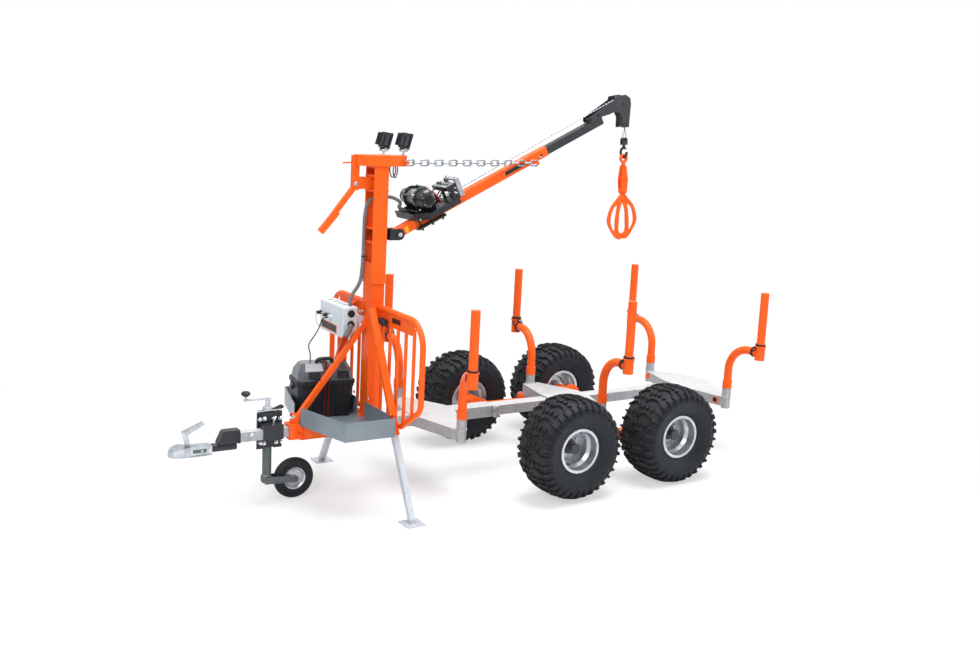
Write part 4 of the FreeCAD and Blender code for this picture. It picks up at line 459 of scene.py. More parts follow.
MATERIALS = {
    "orange": orange_paint(),
    # galvanised: its upward faces are paler by painted top light
    "galvanised": zinc_coat("galvanised", (0.34, 0.355, 0.375), (0.44, 0.455, 0.475), 0.25, (0.36, 0.54),
                            0.16, painted_top_light=0.75),
    "bright": zinc_coat("bright_zinc", (0.50, 0.54, 0.58), (0.60, 0.64, 0.68), 0.20, (0.34, 0.50), 0.12),
    "dull": zinc_coat("dull_zinc", (0.085, 0.105, 0.110), (0.120, 0.143, 0.147), 0.25, (0.42, 0.60), 0.18),
    "tray": painted("tray_paint", (0.165, 0.205, 0.235), (0.215, 0.26, 0.295), (0.32, 0.46), coat=0.1,
                    specular=0.35, dust=0.10),
    "black": painted("black_steel", (0.011, 0.013, 0.017), (0.022, 0.025, 0.030), (0.30, 0.46),
                     specular=0.35, dust=0.05),
    "gloss": painted("black_gloss", (0.008, 0.009, 0.011), (0.016, 0.017, 0.020), (0.12, 0.24), 500.0,
                     coat=0.4),
    "plastic": painted("black_plastic", (0.010, 0.0115, 0.014), (0.020, 0.022, 0.026), (0.40, 0.56), 500.0,
                       specular=0.3, dust=0.08),
    "lid": painted("lid_plastic", (0.055, 0.064, 0.078), (0.095, 0.108, 0.125), (0.20, 0.34), 420.0,
                   coat=0.35, specular=0.5),
    "white": painted("white_plastic", (0.60, 0.65, 0.70), (0.69, 0.735, 0.78), (0.40, 0.5), 350.0,
                     specular=0.3, dust=0.06),
    "conduit": painted("grey_conduit", (0.145, 0.155, 0.155), (0.20, 0.21, 0.21), (0.45, 0.6), 300.0,
                       specular=0.3, dust=0.10),
    "tread": rubber("tread_rubber", (0.012, 0.0135, 0.016), (0.027, 0.030, 0.034), (0.55, 0.72), 14.0,
                    0.30),
    "sidewall": rubber("sidewall_rubber", (0.009, 0.011, 0.015), (0.016, 0.020, 0.027), (0.42, 0.58), 8.0,
                       0.10),
    "rim": metal("silver_paint", (0.42, 0.44, 0.47), (0.60, 0.62, 0.65), (0.26, 0.40), 30.0, 0.8),
    "zinc": metal("zinc_plate", (0.46, 0.48, 0.51), (0.68, 0.70, 0.73), (0.2, 0.36), 90.0),
    "plated": metal("plated_steel", (0.30, 0.335, 0.36), (0.56, 0.60, 0.63), (0.20, 0.36), 22.0),
    "chain": metal("chain_zinc", (0.20, 0.225, 0.25), (0.36, 0.39, 0.42), (0.24, 0.42), 120.0),
    "motor": metal("motor_case", (0.34, 0.35, 0.38), (0.56, 0.58, 0.61), (0.22, 0.40), 50.0),
    "rope": rope_steel(),
    "red": painted("red_plate", (0.36, 0.012, 0.014), (0.46, 0.022, 0.022), (0.34, 0.5), specular=0.35),
    "strap": rubber("strap_rubber", (0.014, 0.013, 0.014), (0.030, 0.026, 0.026), (0.45, 0.65), 30.0, 0.2),
    "label": painted("blank_label", (0.008, 0.008, 0.009), (0.013, 0.013, 0.014), (0.25, 0.36), 500.0),
    "yellow": painted("yellow_label", (0.80, 0.42, 0.015), (0.88, 0.50, 0.025), (0.3, 0.42), 500.0),
    "glass": painted("lamp_glass", (0.42, 0.44, 0.46), (0.60, 0.62, 0.64), (0.06, 0.14), 60.0, coat=0.6),
    "lamp": painted("lamp_case", (0.020, 0.021, 0.027), (0.034, 0.036, 0.044), (0.40, 0.58), 500.0,
                    specular=0.4, dust=0.08),
}
SLOT_LOOK = {"tray_grey": "tray", "black_steel": "black", "black_plastic": "plastic",
             "white_plastic": "white", "grey_conduit": "conduit", "tyre_rubber": "sidewall",
             "silver_rim": "rim"}
NODE_LOOK = {
    "boom_chain": "chain", "winch_rope": "rope", "winch_drum": "motor", "winch_body": "gloss",
    "support_leg_left": "bright", "support_leg_right": "bright", "coupler": "plated",
    "jockey_tube": "dull", "jockey_slide": "bright", "jockey_fork": "dull", "box_lead": "strap",
    "lamp_wires": "strap", "head_pulley": "plastic"}


def dress_nodes():
    """Give each CAD node its material, smoothed by angle."""
    for part in frame["record"]["subparts"]:
        name, slot = part["node"], part["material_slot"]
        mesh = NODES[name].data
        mesh.materials.clear()
        mesh.materials.append(MATERIALS[NODE_LOOK.get(name, SLOT_LOOK.get(slot, slot))])
        for polygon in mesh.polygons:
            polygon.material_index = 0
        smooth_by(mesh, 30)


def second_look(name, look, test):
    """Give part of a CAD node another material, where the test of a face's middle says so."""
    mesh = NODES[name].data
    mesh.materials.append(MATERIALS[look])
    for polygon in mesh.polygons:
        if test(polygon.center):
            polygon.material_index = len(mesh.materials) - 1


dress_nodes()


# ---- tyres
TYRE_R = (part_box("tyre_front_left")[1].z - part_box("tyre_front_left")[0].z) / 2
TYRE_HALF = (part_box("tyre_front_left")[1].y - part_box("tyre_front_left")[0].y) / 2
LUG = 0.0140
PITCHES = 17
TREAD_HALF = TYRE_HALF - 0.012
SHOULDER_DROP = 0.027
FLANK_DROP = 0.11      # beyond the tread's edge
FLANK_SPREAD = 0.035
CARCASS_STEPS = 108
# The tread's pattern over one pitch, for one half: u runs round the tyre in pitches, v from its middle
# to its shoulder at 1. Each block has four corners and its share of the lug's height.
BAR = ((0.02, 0.04), (0.24, 0.15), (0.38, 0.36), (0.36, 0.58), (0.20, 0.78))
BAR_WIDTH = 0.15
BLOCKS = (
    ((0.06, 0.80), (0.24, 0.80), (0.22, 1.10), (0.08, 1.10), 1.0),
    ((0.60, 0.82), (0.72, 0.82), (0.70, 1.12), (0.60, 1.12), 1.0),
    ((0.60, 0.58), (0.80, 0.56), (0.80, 0.71), (0.62, 0.73), 1.0),
    ((0.62, 0.30), (0.82, 0.27), (0.83, 0.42), (0.65, 0.45), 1.0),
    ((0.60, 0.05), (0.78, 0.03), (0.80, 0.16), (0.63, 0.18), 0.95),
    ((0.08, 1.04), (0.20, 1.04), (0.18, 1.26), (0.10, 1.26), 0.45),
    ((0.58, 1.06), (0.74, 1.06), (0.72, 1.20), (0.60, 1.20), 0.40))
BEAD_AND_FLANK = (
    (0.1135, 0.098), (0.1245, 0.1010), (0.1275, 0.1065), (0.1330, 0.1120), (0.1345, 0.1112),
    (0.1420, 0.1175), (0.152, 0.1238), (0.163, 0.1290), (0.174, 0.1328), (0.186, 0.1354),
    (0.1985, 0.1366), (0.2000, 0.1378), (0.2030, 0.1378), (0.2045, 0.1366), (0.212, 0.1360),
    (0.220, 0.1345))


def profile(v):
    """Radius and sideways place of the tread's ground at v: 1 is its edge, and more lies on the flank."""
    reach = min(abs(v), 1.0)
    over = max(abs(v) - 1.0, 0.0)
    radius = TYRE_R - LUG - SHOULDER_DROP * reach ** 3 - FLANK_DROP * over
    side = reach * TREAD_HALF + FLANK_SPREAD * over
    return radius, side if v > 0 else -side


def tread_point(u, v, lift):
    """A point over the tread at angle u (in pitches) and v, lifted along the normal."""
    r0, s0 = profile(v - 0.02)
    r1, s1 = profile(v + 0.02)
    length = math.hypot(r1 - r0, s1 - s0)
    radius, side = profile(v)
    radius += lift * (s1 - s0) / length
    side -= lift * (r1 - r0) / length
    angle = 2 * math.pi * u / PITCHES
    return Vector((radius * math.cos(angle), side, radius * math.sin(angle)))


def lug(bm, corners, height, cuts=3):
    """A raised block over a four-sided patch of the tread, split across for its curve."""
    (u0, v0), (u1, v1), (u2, v2), (u3, v3) = corners
    mid_u, mid_v = (u0 + u1 + u2 + u3) / 4, (v0 + v1 + v2 + v3) / 4
    rows = []
    for inset, lift in ((0.0, -0.003), (0.05, height * 0.80), (0.12, height * 0.96), (0.26, height)):
        near, far = [], []
        for k in range(cuts + 1):
            t = k / cuts
            for row, (ua, va, ub, vb) in ((near, (u0, v0, u3, v3)), (far, (u1, v1, u2, v2))):
                u, v = ua + (ub - ua) * t, va + (vb - va) * t
                row.append(tread_point(u + (mid_u - u) * inset, v + (mid_v - v) * inset, lift))
        rows.append(near + far[::-1])
    top = skin(bm, rows)[-1]
    for k in range(cuts):
        bm.faces.new((top[k], top[k + 1], top[-2 - k], top[-1 - k]))


def arc_bar(bm, points):
    """A curved bar over the tread along (u, v) points, narrower at its ends."""
    path = smooth_path([(u, v, 0) for u, v in points], 4)
    section = ((-1.0, -0.003), (-0.86, LUG * 0.82), (-0.66, LUG), (0.66, LUG), (0.86, LUG * 0.82),
               (1.0, -0.003))
    rings = []
    for k, point in enumerate(path):
        half = BAR_WIDTH / 2 * (0.72 + 0.28 * math.sin(math.pi * k / (len(path) - 1)))
        rings.append([bm.verts.new(tread_point(point.x + du * half, point.y, lift))
                      for du, lift in section])
    for a, b in zip(rings, rings[1:]):
        for i in range(len(section) - 1):
            bm.faces.new((a[i], a[i + 1], b[i + 1], b[i]))
    bm.faces.new(rings[0])
    bm.faces.new(list(reversed(rings[-1])))


def tread_mesh():
    """All lugs of one tyre about the Y axis: curved bars, knobs between them, and shoulder blocks."""
    bm = bmesh.new()
    for i in range(PITCHES):
        for side, offset in ((1, 0.0), (-1, 0.5)):
            arc_bar(bm, [(i + offset + u, v * side) for u, v in BAR])
            for *corners, share in BLOCKS:
                lug(bm, [(i + offset + u, v * side) for u, v in corners], LUG * share)
    return bm


def carcass_outline():
    """The tyre's outline from bead to bead as (radius, along) points, with its raised rings."""
    crown = [profile(v) for v in (1.22, 1.1, 1.0, 0.92, 0.8, 0.65, 0.5, 0.25, 0.0)]
    side = list(BEAD_AND_FLANK) + crown
    return side + [(r, -y) for r, y in reversed(side[:-1])]


def make_tyre(key, side, turn):
    """A tyre with its lugs, standing for the CAD one."""
    centre = centre_of("tyre_" + key)
    bm = bmesh.new()
    lathe(bm, carcass_outline(), (0, 0, 0), Y, CARCASS_STEPS, closed=True)
    carcass_faces = len(bm.faces)
    add_to(bm, tread_mesh())
    if side < 0:
        bm.transform(Matrix.Rotation(math.pi, 4, "Z"))
    bm.transform(move(centre) @ Matrix.Rotation(turn, 4, "Y"))
    piece = mesh_piece("tyre_%s_look" % key, bm, "sidewall", "wheel_" + key, smooth=40)
    piece.data.materials.append(MATERIALS["tread"])
    for index, polygon in enumerate(piece.data.polygons):
        reach = math.hypot(polygon.center.x - centre.x, polygon.center.z - centre.z)
        tread = index >= carcass_faces or reach > profile(1.05)[0]
        polygon.material_index = 1 if tread else 0
    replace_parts(piece, "tyre_" + key)


# ---- wheels
NUT_RING = 0.055
VALVE_RING = 0.098
VALVE_TURN = {"front_left": -62.0, "rear_left": 28.0, "front_right": 120.0, "rear_right": 200.0}
TYRE_TURN = {"front_left": 0.09, "rear_left": 0.29, "front_right": 0.15, "rear_right": 0.02}
CAP_ROOT = 0.0225   # along the axis, from the rim's disc
CAP_END = 0.0812
CAP_RIBS = 6


def cap_outline():
    """The hub cap's wide collar, its ribs and its dished end, as (radius, along) points."""
    outline = [(0.040, 0.0090), (0.0428, 0.0105), (0.0428, 0.0200), (0.0405, CAP_ROOT), (0.0320, CAP_ROOT)]
    for i in range(CAP_RIBS):
        low = CAP_ROOT + 0.003 + (CAP_END - CAP_ROOT - 0.007) * i / CAP_RIBS
        outline += [(0.0285, low), (0.0312, low + 0.0016), (0.0312, low + 0.0050), (0.0285, low + 0.0066)]
    return outline + [(0.0285, CAP_END - 0.002), (0.0268, CAP_END), (0.0120, CAP_END),
                      (0.0105, CAP_END - 0.0015), (0, CAP_END - 0.0015)]


def make_wheel_fittings(key, side):
    """Nuts, the ribbed black hub cap and the valve of one wheel."""
    centre = centre_of("rim_" + key)
    out = Y * side
    disc = centre - out * 0.018
    body = "wheel_" + key
    nuts = bmesh.new()
    for i in range(4):
        angle = math.radians(45 + 90 * i)
        spot = disc + Vector((math.cos(angle), 0, math.sin(angle))) * NUT_RING + out * 0.009
        bolt(nuts, spot, out, 9.5, 14.0)
        lathe(nuts, [(0.0055, 0.012), (0.0055, 0.021), (0.0045, 0.0225), (0, 0.0225)], spot, out, 12)
    mesh_piece("nuts_" + key, nuts, "zinc", body)

    cap = bmesh.new()
    lathe(cap, cap_outline(), disc, out, 40)
    mesh_piece("hub_cap_" + key, cap, "gloss", body)

    valve = bmesh.new()
    angle = math.radians(VALVE_TURN[key])
    radial = Vector((math.cos(angle), 0, math.sin(angle)))
    root = centre + radial * VALVE_RING + out * 0.038
    lean = (out * 0.9 - radial * 0.35).normalized()
    lathe(valve, [(0.0085, -0.004), (0.0085, 0.003), (0.0060, 0.010), (0.0042, 0.014), (0.0042, 0.026)],
          root, lean, 14)
    lathe(valve, [(0.0048, 0.026), (0.0048, 0.036), (0, 0.037)], root, lean, 14)
    mesh_piece("valve_" + key, valve, "gloss", body)


for end_name in ENDS:
    for side_name, side_sign in SIDES:
        wheel_key = "%s_%s" % (end_name, side_name)
        make_tyre(wheel_key, side_sign, TYRE_TURN[wheel_key])
        make_wheel_fittings(wheel_key, side_sign)


# ---- stakes
STAKE_R = 0.02415
STAKE_OFFSET = 0.233   # from the socket's axis to the post's
BUNKS = {"front": 907, "middle": -23, "rear": -991}
SOCKET_Y = 366
STAKE_TURN = {"front_left": 20.0, "front_right": -9.0, "middle_left": 4.0, "rear_left": -4.0,
              "middle_right": -6.0, "rear_right": 0.0}


def make_stake_details(key, side):
    """The rubber strap that locks a post to its arm, its buckle, and the stake's welds."""
    bunk = key.split("_")[0]
    turn = turned("Z", -side * STAKE_TURN[key]).to_3x3()
    out, across = turn @ (Y * side), turn @ X
    post = at(BUNKS[bunk], side * SOCKET_Y, 0) + out * STAKE_OFFSET
    body = "stake_%s_body" % key

    strap = bmesh.new()
    high = post + Z * 0.750
    loop_band(strap, high, Z + out * 0.10, STAKE_R + 0.0006, 0.011, 0.0055)
    low = post + Z * 0.699 - out * 0.046
    loop_band(strap, low, out + Z * 0.12, STAKE_R + 0.0012, 0.012, 0.0055)
    web = [high - out * 0.027, post + Z * 0.739 - out * 0.033, low + Z * 0.0285 + out * 0.004]
    strip(strap, smooth_path(web, 5), 0.020, 0.0045, across)
    for edge in (across, -across):
        cord = [high + edge * 0.026, post + Z * 0.722 + edge * 0.0315 - out * 0.014,
                low + edge * 0.0275 + Z * 0.006]
        strip(strap, smooth_path(cord, 5), 0.0032, 0.009, edge)
    mesh_piece("strap_" + key, strap, "strap", body)

    buckle = bmesh.new()
    hook = [low + across * side * 0.012 + Z * 0.028, low + across * side * 0.004 + Z * 0.038 + out * 0.004,
            low - across * side * 0.006 + Z * 0.031 + out * 0.012]
    tube(buckle, smooth_path(hook, 5), 0.0024, 8)
    mesh_piece("buckle_" + key, buckle, "zinc", body)

    welds = bmesh.new()
    ring_weld(welds, post + Z * 0.7345, Z, 0.0293)
    ring_weld(welds, at(BUNKS[bunk], side * SOCKET_Y, 480), Z, 0.0252)
    ring_weld(welds, post + Z * 0.699 - out * 0.0295, out, 0.0250, 0.0034)
    mesh_piece("weld_" + key, welds, "orange", body)


# ---- bolts, welds and plates
def bolt_group(name, body, spots):
    """Bolt heads as one piece, from (place, axis, size, reach) rows."""
    bm = bmesh.new()
    for spot in spots:
        bolt(bm, *spot)
    mesh_piece(name, bm, "zinc", body)


def both_sides(*rows):
    """Bolts on both sides, from (x, y, z, size, reach) rows of the left ones."""
    return [(at(x, y * side, z), Y * side, size, reach)
            for x, y, z, size, reach in rows for side in (1, -1)]


def weld_rectangle(bm, x, half, z):
    """Weld beads round a level rectangle, in millimetres."""
    corners = [at(x[0], -half, z), at(x[1], -half, z), at(x[1], half, z), at(x[0], half, z)]
    for a, b in zip(corners, corners[1:] + corners[:1]):
        weld(bm, a, b)


def plate_piece(name, look, body, place, size, bevel=None):
    """One plate as a piece of its own; unless given, its bevel follows its thickness."""
    bm = bmesh.new()
    block(bm, place, size, bevel or min(size) * 0.3)
    mesh_piece(name, bm, look, body)


CLAMP_BOLTS = ((1880, 430, 10), (1855, 431, 10), (1768, 428, 10), (1878, 302, 9), (1856, 299, 9),
               (1790, 299, 9), (1764, 299, 9))   # x, z and size of the drawbar clamp's bolts
MAST_FOOT_X = (1228, 1310)


def make_bolts():
    """The bolts that show on the chassis, the crane head and the boom."""
    bolt_group("bolts_chassis", "chassis",
               both_sides((1943, 25, 371, 9.5, 9), (1352, 20, 901, 8.5, 7), (1713, 15, 439, 8.5, 7))
               + [(at(1323, y, 512), X, 7, 5) for y in (84, -84)])
    bolt_group("bolts_clamp_plate", "chassis",
               [(at(x, -38, z), -Y, size, 10) for x, z, size in CLAMP_BOLTS]
               + [(at(x, -29, z), Y, size, 13) for x, z, size in CLAMP_BOLTS])
    bolt_group("bolts_head", "crane_head", both_sides((1396, 11, 1644, 10, 7), (1143, 41, 1379, 10, 5)))
    bolt_group("bolts_boom", "boom", [(on_boom(981, 2, 25 * side), Y * side, 10, 8) for side in (1, -1)])


def make_welds():
    """The weld beads at the mast and round the stake sockets."""
    mast = bmesh.new()
    weld_rectangle(mast, MAST_FOOT_X, 43, 392)
    weld_rectangle(mast, MAST_FOOT_X, 52, 1126)
    mesh_piece("welds_mast", mast, "orange")
    sockets = bmesh.new()
    for x in BUNKS.values():
        for side in (1, -1):
            ring_weld(sockets, at(x, side * SOCKET_Y, 378), Z, 0.0285, 0.0030)
    mesh_piece("welds_sockets", sockets, "galvanised")


# ---- drawbar, jockey wheel and coupler
def make_hitch_details():
    """The jockey clamp's handle and toggle, a painted highlight along its plate's top edge, and the brace's holes
    as dark discs of painted shade.
    """
    stem = bmesh.new()
    tube(stem, smooth_path([at(1800, -61, 447), at(1788, -60, 456), at(1776, -60, 461)], 4), 0.0050, 10)
    mesh_piece("clamp_stem", stem, "zinc")
    grip = bmesh.new()
    tube(grip, smooth_path([at(1778, -60, 460), at(1760, -60, 470), at(1741, -60, 480)], 4), 0.0085, 14)
    mesh_piece("clamp_grip", grip, "plastic")
    toggle = bmesh.new()
    lathe(toggle, [(0.011, 0.0), (0.011, 0.008), (0.007, 0.010), (0.007, 0.020), (0, 0.020)],
          at(1807, -29, 428), Y, 18)
    tube(toggle, smooth_path([at(1797, -14, 440), at(1806, -13, 428), at(1812, -13, 402)], 4), 0.0060, 10)
    mesh_piece("clamp_toggle", toggle, "zinc")
    # a bright strip along the plate's top edge: painted highlight
    plate_piece("clamp_plate_highlight", "bright", "chassis", at(1826, -33.5, 470.5),
                (0.137, 0.0098, 0.0034), 0.0010)
    # dark discs on the brace stand for its holes: painted shade
    holes = bmesh.new()
    for x, z in ((1501, 712), (1571, 622)):
        lathe(holes, [(0.0062, 0), (0.0062, 0.0007), (0, 0.0007)], at(x, 15.0, z), Y, 18)
    mesh_piece("brace_hole_shade", holes, "plastic", "chassis")


COUPLER_HALF = 31


def make_coupler_details():
    """The pressed recess, drawn as a dark plate of painted shade, and the rivets on both sides of the ball
    coupler.
    """
    recess, pins = bmesh.new(), bmesh.new()
    for side in (1, -1):
        # a dark plate on each side stands for the recess: painted shade
        block(recess, at(2212, (COUPLER_HALF + 0.3) * side, 317), (0.070, 0.0016, 0.018), 0.0007)
        bolt(pins, at(2162, COUPLER_HALF * side, 316), Y * side, 6, 4)
        bolt(pins, at(2200, (COUPLER_HALF + 0.8) * side, 316), Y * side, 5, 3)
    mesh_piece("coupler_recess_shade", recess, "dull", "coupler_swivel")
    mesh_piece("coupler_pins", pins, "zinc", "coupler_swivel")


def make_jockey_details():
    """Bright rings on both sides of the jockey wheel's rim."""
    hub = centre_of("jockey_rim")
    rings = bmesh.new()
    for side in (1, -1):
        ring_weld(rings, hub + Y * side * 0.0135, Y, 0.058, 0.0022)
        ring_weld(rings, hub + Y * side * 0.0125, Y, 0.036, 0.0018)
    mesh_piece("jockey_rings", rings, "zinc", "jockey_wheel", 60)


# ---- winch
WINCH = (190, 122)   # reach and lift of the drum's axis over the boom, in millimetres
ROPE_TURNS = 15
ROPE_STEPS = 30      # to a turn


def around_axis(angle, radius, y):
    """A place round the winch's axis, in millimetres."""
    return on_boom(WINCH[0] + radius * math.cos(angle), WINCH[1] + radius * math.sin(angle), y)


def over_boom(reach, lift, y):
    """A place matrix over the boom, its Z square to the boom and its X along it."""
    return move(on_boom(reach, lift, y)) @ basis(BOOM_UP, BOOM_ALONG)


def make_rope_turns():
    """The rope's turns on the drum."""
    bm = bmesh.new()
    count = ROPE_TURNS * ROPE_STEPS
    tube(bm, [around_axis(2 * math.pi * k / ROPE_STEPS, 39.1, -38.5 + 77.0 * k / count)
              for k in range(count + 1)], 0.0026, 6)
    mesh_piece("rope_turns", bm, "rope", "drum", smooth=60)


def make_winch_cases():
    """Bands and ribs of the motor, the drum's flanges and the gear housing."""
    axis = on_boom(*WINCH)
    bands, gear = bmesh.new(), bmesh.new()
    for y in (-0.128, -0.074):
        loop_band(bands, axis + Y * y, Y, 0.0380, 0.006, 0.0022, 36)
    for i in range(8):
        angle = math.pi * i / 4
        tube(bands, [around_axis(angle, 38.2, -70), around_axis(angle, 38.2, -130)], 0.0018, 6)
    for y in (-0.055, 0.055):
        loop_band(bands, axis + Y * y, Y, 0.0580, 0.010, 0.0022, 44)
    mesh_piece("motor_bands", bands, "gloss", "boom")
    for y in (0.068, 0.080, 0.092, 0.104):
        loop_band(gear, axis + Y * y, Y, 0.0498, 0.004, 0.0020, 44)
    lathe(gear, [(0.030, 0.122), (0.034, 0.124), (0.034, 0.127), (0.030, 0.129), (0.021, 0.129)], axis, Y,
          36)
    mesh_piece("gear_case_ribs", gear, "gloss", "boom")


def make_winch_bolts():
    """Bolts of the gear housing, of the drum's flanges and of the tray."""
    bolt_group("winch_bolts", "boom",
               [(around_axis(math.pi * i / 3 + 0.4, 37.5, 121), Y, 3.6, 5) for i in range(6)]
               + [(on_boom(reach, lift, 60 * side), Y * side, 7, 6)
                  for reach, lift in ((238, 162), (142, 162), (151, 72)) for side in (1, -1)]
               + [(on_boom(reach, 36, y), BOOM_UP, 7.5, 7)
                  for reach, y in ((110, 66), (118, 96), (118, -66), (270, 128), (318, 128), (270, -128))])


def make_clutch_guard():
    """The red guard that curves over the clutch, and its studs."""
    guard, studs = bmesh.new(), bmesh.new()
    curve = [on_boom(reach, lift, 90) for reach, lift in ((214, 166), (236, 142), (250, 108), (258, 68))]
    strip(guard, smooth_path(curve, 8), 0.050, 0.0045, Y)
    mesh_piece("clutch_guard", guard, "red", "boom")
    for y in (74, 106):
        tube(studs, [on_boom(222, 142, y), on_boom(234, 140, y)], 0.0040, 8)
        tube(studs, [on_boom(233, 96, y), on_boom(250, 92, y)], 0.0040, 8)
    mesh_piece("guard_studs", studs, "gloss", "boom")


def make_roller_heads():
    """The plate and heads over the guide's upright rollers."""
    bm = bmesh.new()
    for y in (-22, 69):
        lathe(bm, [(0.0125, 0), (0.0125, 0.004), (0.008, 0.005), (0.008, 0.011), (0, 0.012)],
              on_boom(403, 136, y), BOOM_UP, 20)
    block(bm, over_boom(403, 137.5, 23.5), (0.026, 0.122, 0.0030), 0.0010)
    mesh_piece("roller_heads", bm, "zinc", "boom")


def make_relay():
    """The relay box's lid, its slot as a dark strip of painted shade, its black studs, and the leads to the motor.
    """
    plate_piece("relay_lid", "motor", "boom", over_boom(354, 121.8, 7),
                (0.060, 0.152, 0.0024), 0.0008)
    slot, leads = bmesh.new(), bmesh.new()
    # the slot is a dark strip on the lid: painted shade
    block(slot, over_boom(354, 123.2, 30), (0.012, 0.070, 0.0014), 0.0005)
    for y in (-48, -20):
        lathe(slot, [(0.007, 0), (0.007, 0.006), (0.005, 0.008), (0, 0.008)], on_boom(354, 123, y), BOOM_UP,
              16)
    mesh_piece("relay_slot_shade_and_studs", slot, "plastic", "boom")
    for y, drop in ((44, 0), (60, 8), (-30, 4)):
        lead = [on_boom(324, 108, y), on_boom(304, 110 - drop, y), on_boom(278, 84 - drop, y * 0.8),
                on_boom(262, 58, y * 0.7), on_boom(248, 42, y * 0.5)]
        tube(leads, smooth_path(lead, 6), 0.0036, 8)
    mesh_piece("relay_leads", leads, "strap", "boom", smooth=60)


for bunk_name in BUNKS:
    for side_name, side_sign in SIDES:
        make_stake_details("%s_%s" % (bunk_name, side_name), side_sign)
make_bolts()
make_welds()
make_hitch_details()
make_coupler_details()
make_jockey_details()
make_rope_turns()
make_winch_cases()
make_winch_bolts()
make_clutch_guard()
make_roller_heads()
make_relay()
second_look("winch_body", "motor", lambda c: c.y < -0.0605 and math.dist(boom_spot(c), WINCH) < 39)
second_look("rope_guide", "zinc", lambda c: boom_spot(c)[0] > 389.5)
second_look("winch_tray", "zinc", lambda c: abs(abs(c.y) - 0.032) < 0.0052 and -31.5 > boom_spot(c)[1])


# ---- lamps
LAMP_X = (1237, 1121)
LAMP_Z = 1871.5
LAMP_FOOT_Z = 1793.5
LAMP_TILT = -16.0


def make_lamp(case, glass, place):
    """One lamp's rounded case with its rim and fins, and its lens with nine small domes."""
    for x, size, bevel in ((0.001, (0.042, 0.074, 0.080), 0.0110),
                           (-0.0215, (0.010, 0.083, 0.090), 0.0045)):
        block(case, place @ move((x, 0, 0)), size, bevel)
    for y in range(-30, 31, 10):
        block(case, place @ move((0.024, y / 1000, 0)), (0.012, 0.0032, 0.066), 0.0012)
    block(glass, place @ move((-0.0262, 0, 0)), (0.0016, 0.070, 0.076), 0.0007)
    for y in (-0.022, 0, 0.022):
        for z in (-0.024, 0, 0.024):
            spot = place @ Vector((-0.0268, y, z))
            lathe(glass, [(0.0085, 0), (0.0060, 0.0009), (0, 0.0012)], spot, place.to_3x3() @ -X, 14)


def make_lamp_bracket(bm, foot):
    """One lamp's bolt and U-bracket."""
    lathe(bm, [(0.011, 0), (0.011, 0.005), (0.006, 0.006), (0.006, 0.020), (0, 0.020)], foot, Z, 18)
    block(bm, foot + Z * 0.021, (0.022, 0.060, 0.003))
    for side in (1, -1):
        block(bm, foot + Vector((0.001, 0.0305 * side, 0.029)), (0.018, 0.003, 0.018))


def make_lamps():
    """The two work lamps on the crane head, which stand for the CAD ones."""
    case, glass, bracket = bmesh.new(), bmesh.new(), bmesh.new()
    for x in LAMP_X:
        make_lamp(case, glass, move(at(x, 0, LAMP_Z)) @ turned("Y", LAMP_TILT))
        make_lamp_bracket(bracket, at(x, 0, LAMP_FOOT_Z))
    mesh_piece("lamp_cases", case, "lamp", "crane_head")
    mesh_piece("lamp_glasses", glass, "glass", "crane_head")
    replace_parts(mesh_piece("lamp_brackets", bracket, "zinc", "crane_head"), "work_lamps")


# ---- battery box
BATTERY = move(at(1491, -140, 0)) @ turned("Z", -8.0)
STRAP_X = -2
STRAP_RUN = ((84, 400), (93, 560), (101, 572), (101, 597), (88, 642), (50, 684))   # y and z up to the lid
HANDLE = ((40, 30, 672), (39, 36, 694), (24, 42, 705), (-26, 42, 705), (-41, 36, 694), (-42, 30, 672))


def battery_frame(x, y, z, tip=0.0):
    """A place matrix in the turned battery box's own frame, in millimetres, tipped about its length."""
    return BATTERY @ move(Vector((x, y, z)) / 1000) @ turned("X", tip)


def battery_place(x, y, z):
    """A place in the turned battery box's own frame, in millimetres."""
    return battery_frame(x, y, z).to_translation()


def make_battery_strap():
    """The strap over the battery box, with the two thin lines woven along it."""
    long_way = BATTERY.to_3x3() @ X
    strap, lines = bmesh.new(), bmesh.new()
    over = [*STRAP_RUN, (0, 689), *((-y, z) for y, z in reversed(STRAP_RUN))]
    path = [battery_place(STRAP_X, y, z) for y, z in over]
    strip(strap, path, 0.034, 0.0022, long_way)
    mesh_piece("battery_strap", strap, "strap")
    middle = battery_place(STRAP_X, 0, 520)
    for shift in (-0.011, 0.011):
        lifted = [p + (p - middle).normalized() * 0.0014 + long_way * shift for p in path]
        strip(lines, lifted, 0.003, 0.0012, long_way)
    mesh_piece("battery_strap_lines", lines, "red", "chassis")


def make_battery_fittings():
    """Handle, latches, ribs and the lid's recesses of the battery box; the recesses are darker plates of painted
    shade.
    """
    parts, panels = bmesh.new(), bmesh.new()
    tube(parts, smooth_path([battery_place(*p) for p in HANDLE], 5), 0.0095, 12)
    for end in (1, -1):
        block(parts, battery_frame(160 * end, 0, 566), (0.012, 0.062, 0.030), 0.003)
        block(parts, battery_frame(165 * end, 0, 548), (0.014, 0.046, 0.018), 0.003)
    for x in (-120, -60, 60, 120):
        for side in (1, -1):
            block(parts, battery_frame(x, 86.5 * side, 470, 3.9 * side), (0.007, 0.004, 0.150), 0.0015)
    mesh_piece("battery_fittings", parts, "plastic")
    # darker plates on the lid stand for its recesses: painted shade
    for x in (-92, 66):
        block(panels, battery_frame(x, 93.2, 626, 12), (0.058, 0.004, 0.038), 0.0015)
    mesh_piece("battery_recess_shade", panels, "plastic")


# ---- control box
CONTROL_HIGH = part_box("control_box")[1]
CONTROL_FRONT = CONTROL_HIGH.x - 0.022
SWITCH_X = (at(1347, 0, 0).x + CONTROL_FRONT) / 2
SEAM_X = 1380
SEAM = (((-303, 825), (-28, 825)), ((-19, 834), (-19, 983)), ((-28, 992), (-303, 992)),
        ((-312, 983), (-312, 834)))


def on_front(y, z, out=0.0):
    """A place on the control box's front, in millimetres, and out from it, in metres."""
    return Vector((CONTROL_FRONT + out, y / 1000, GROUND + z / 1000))


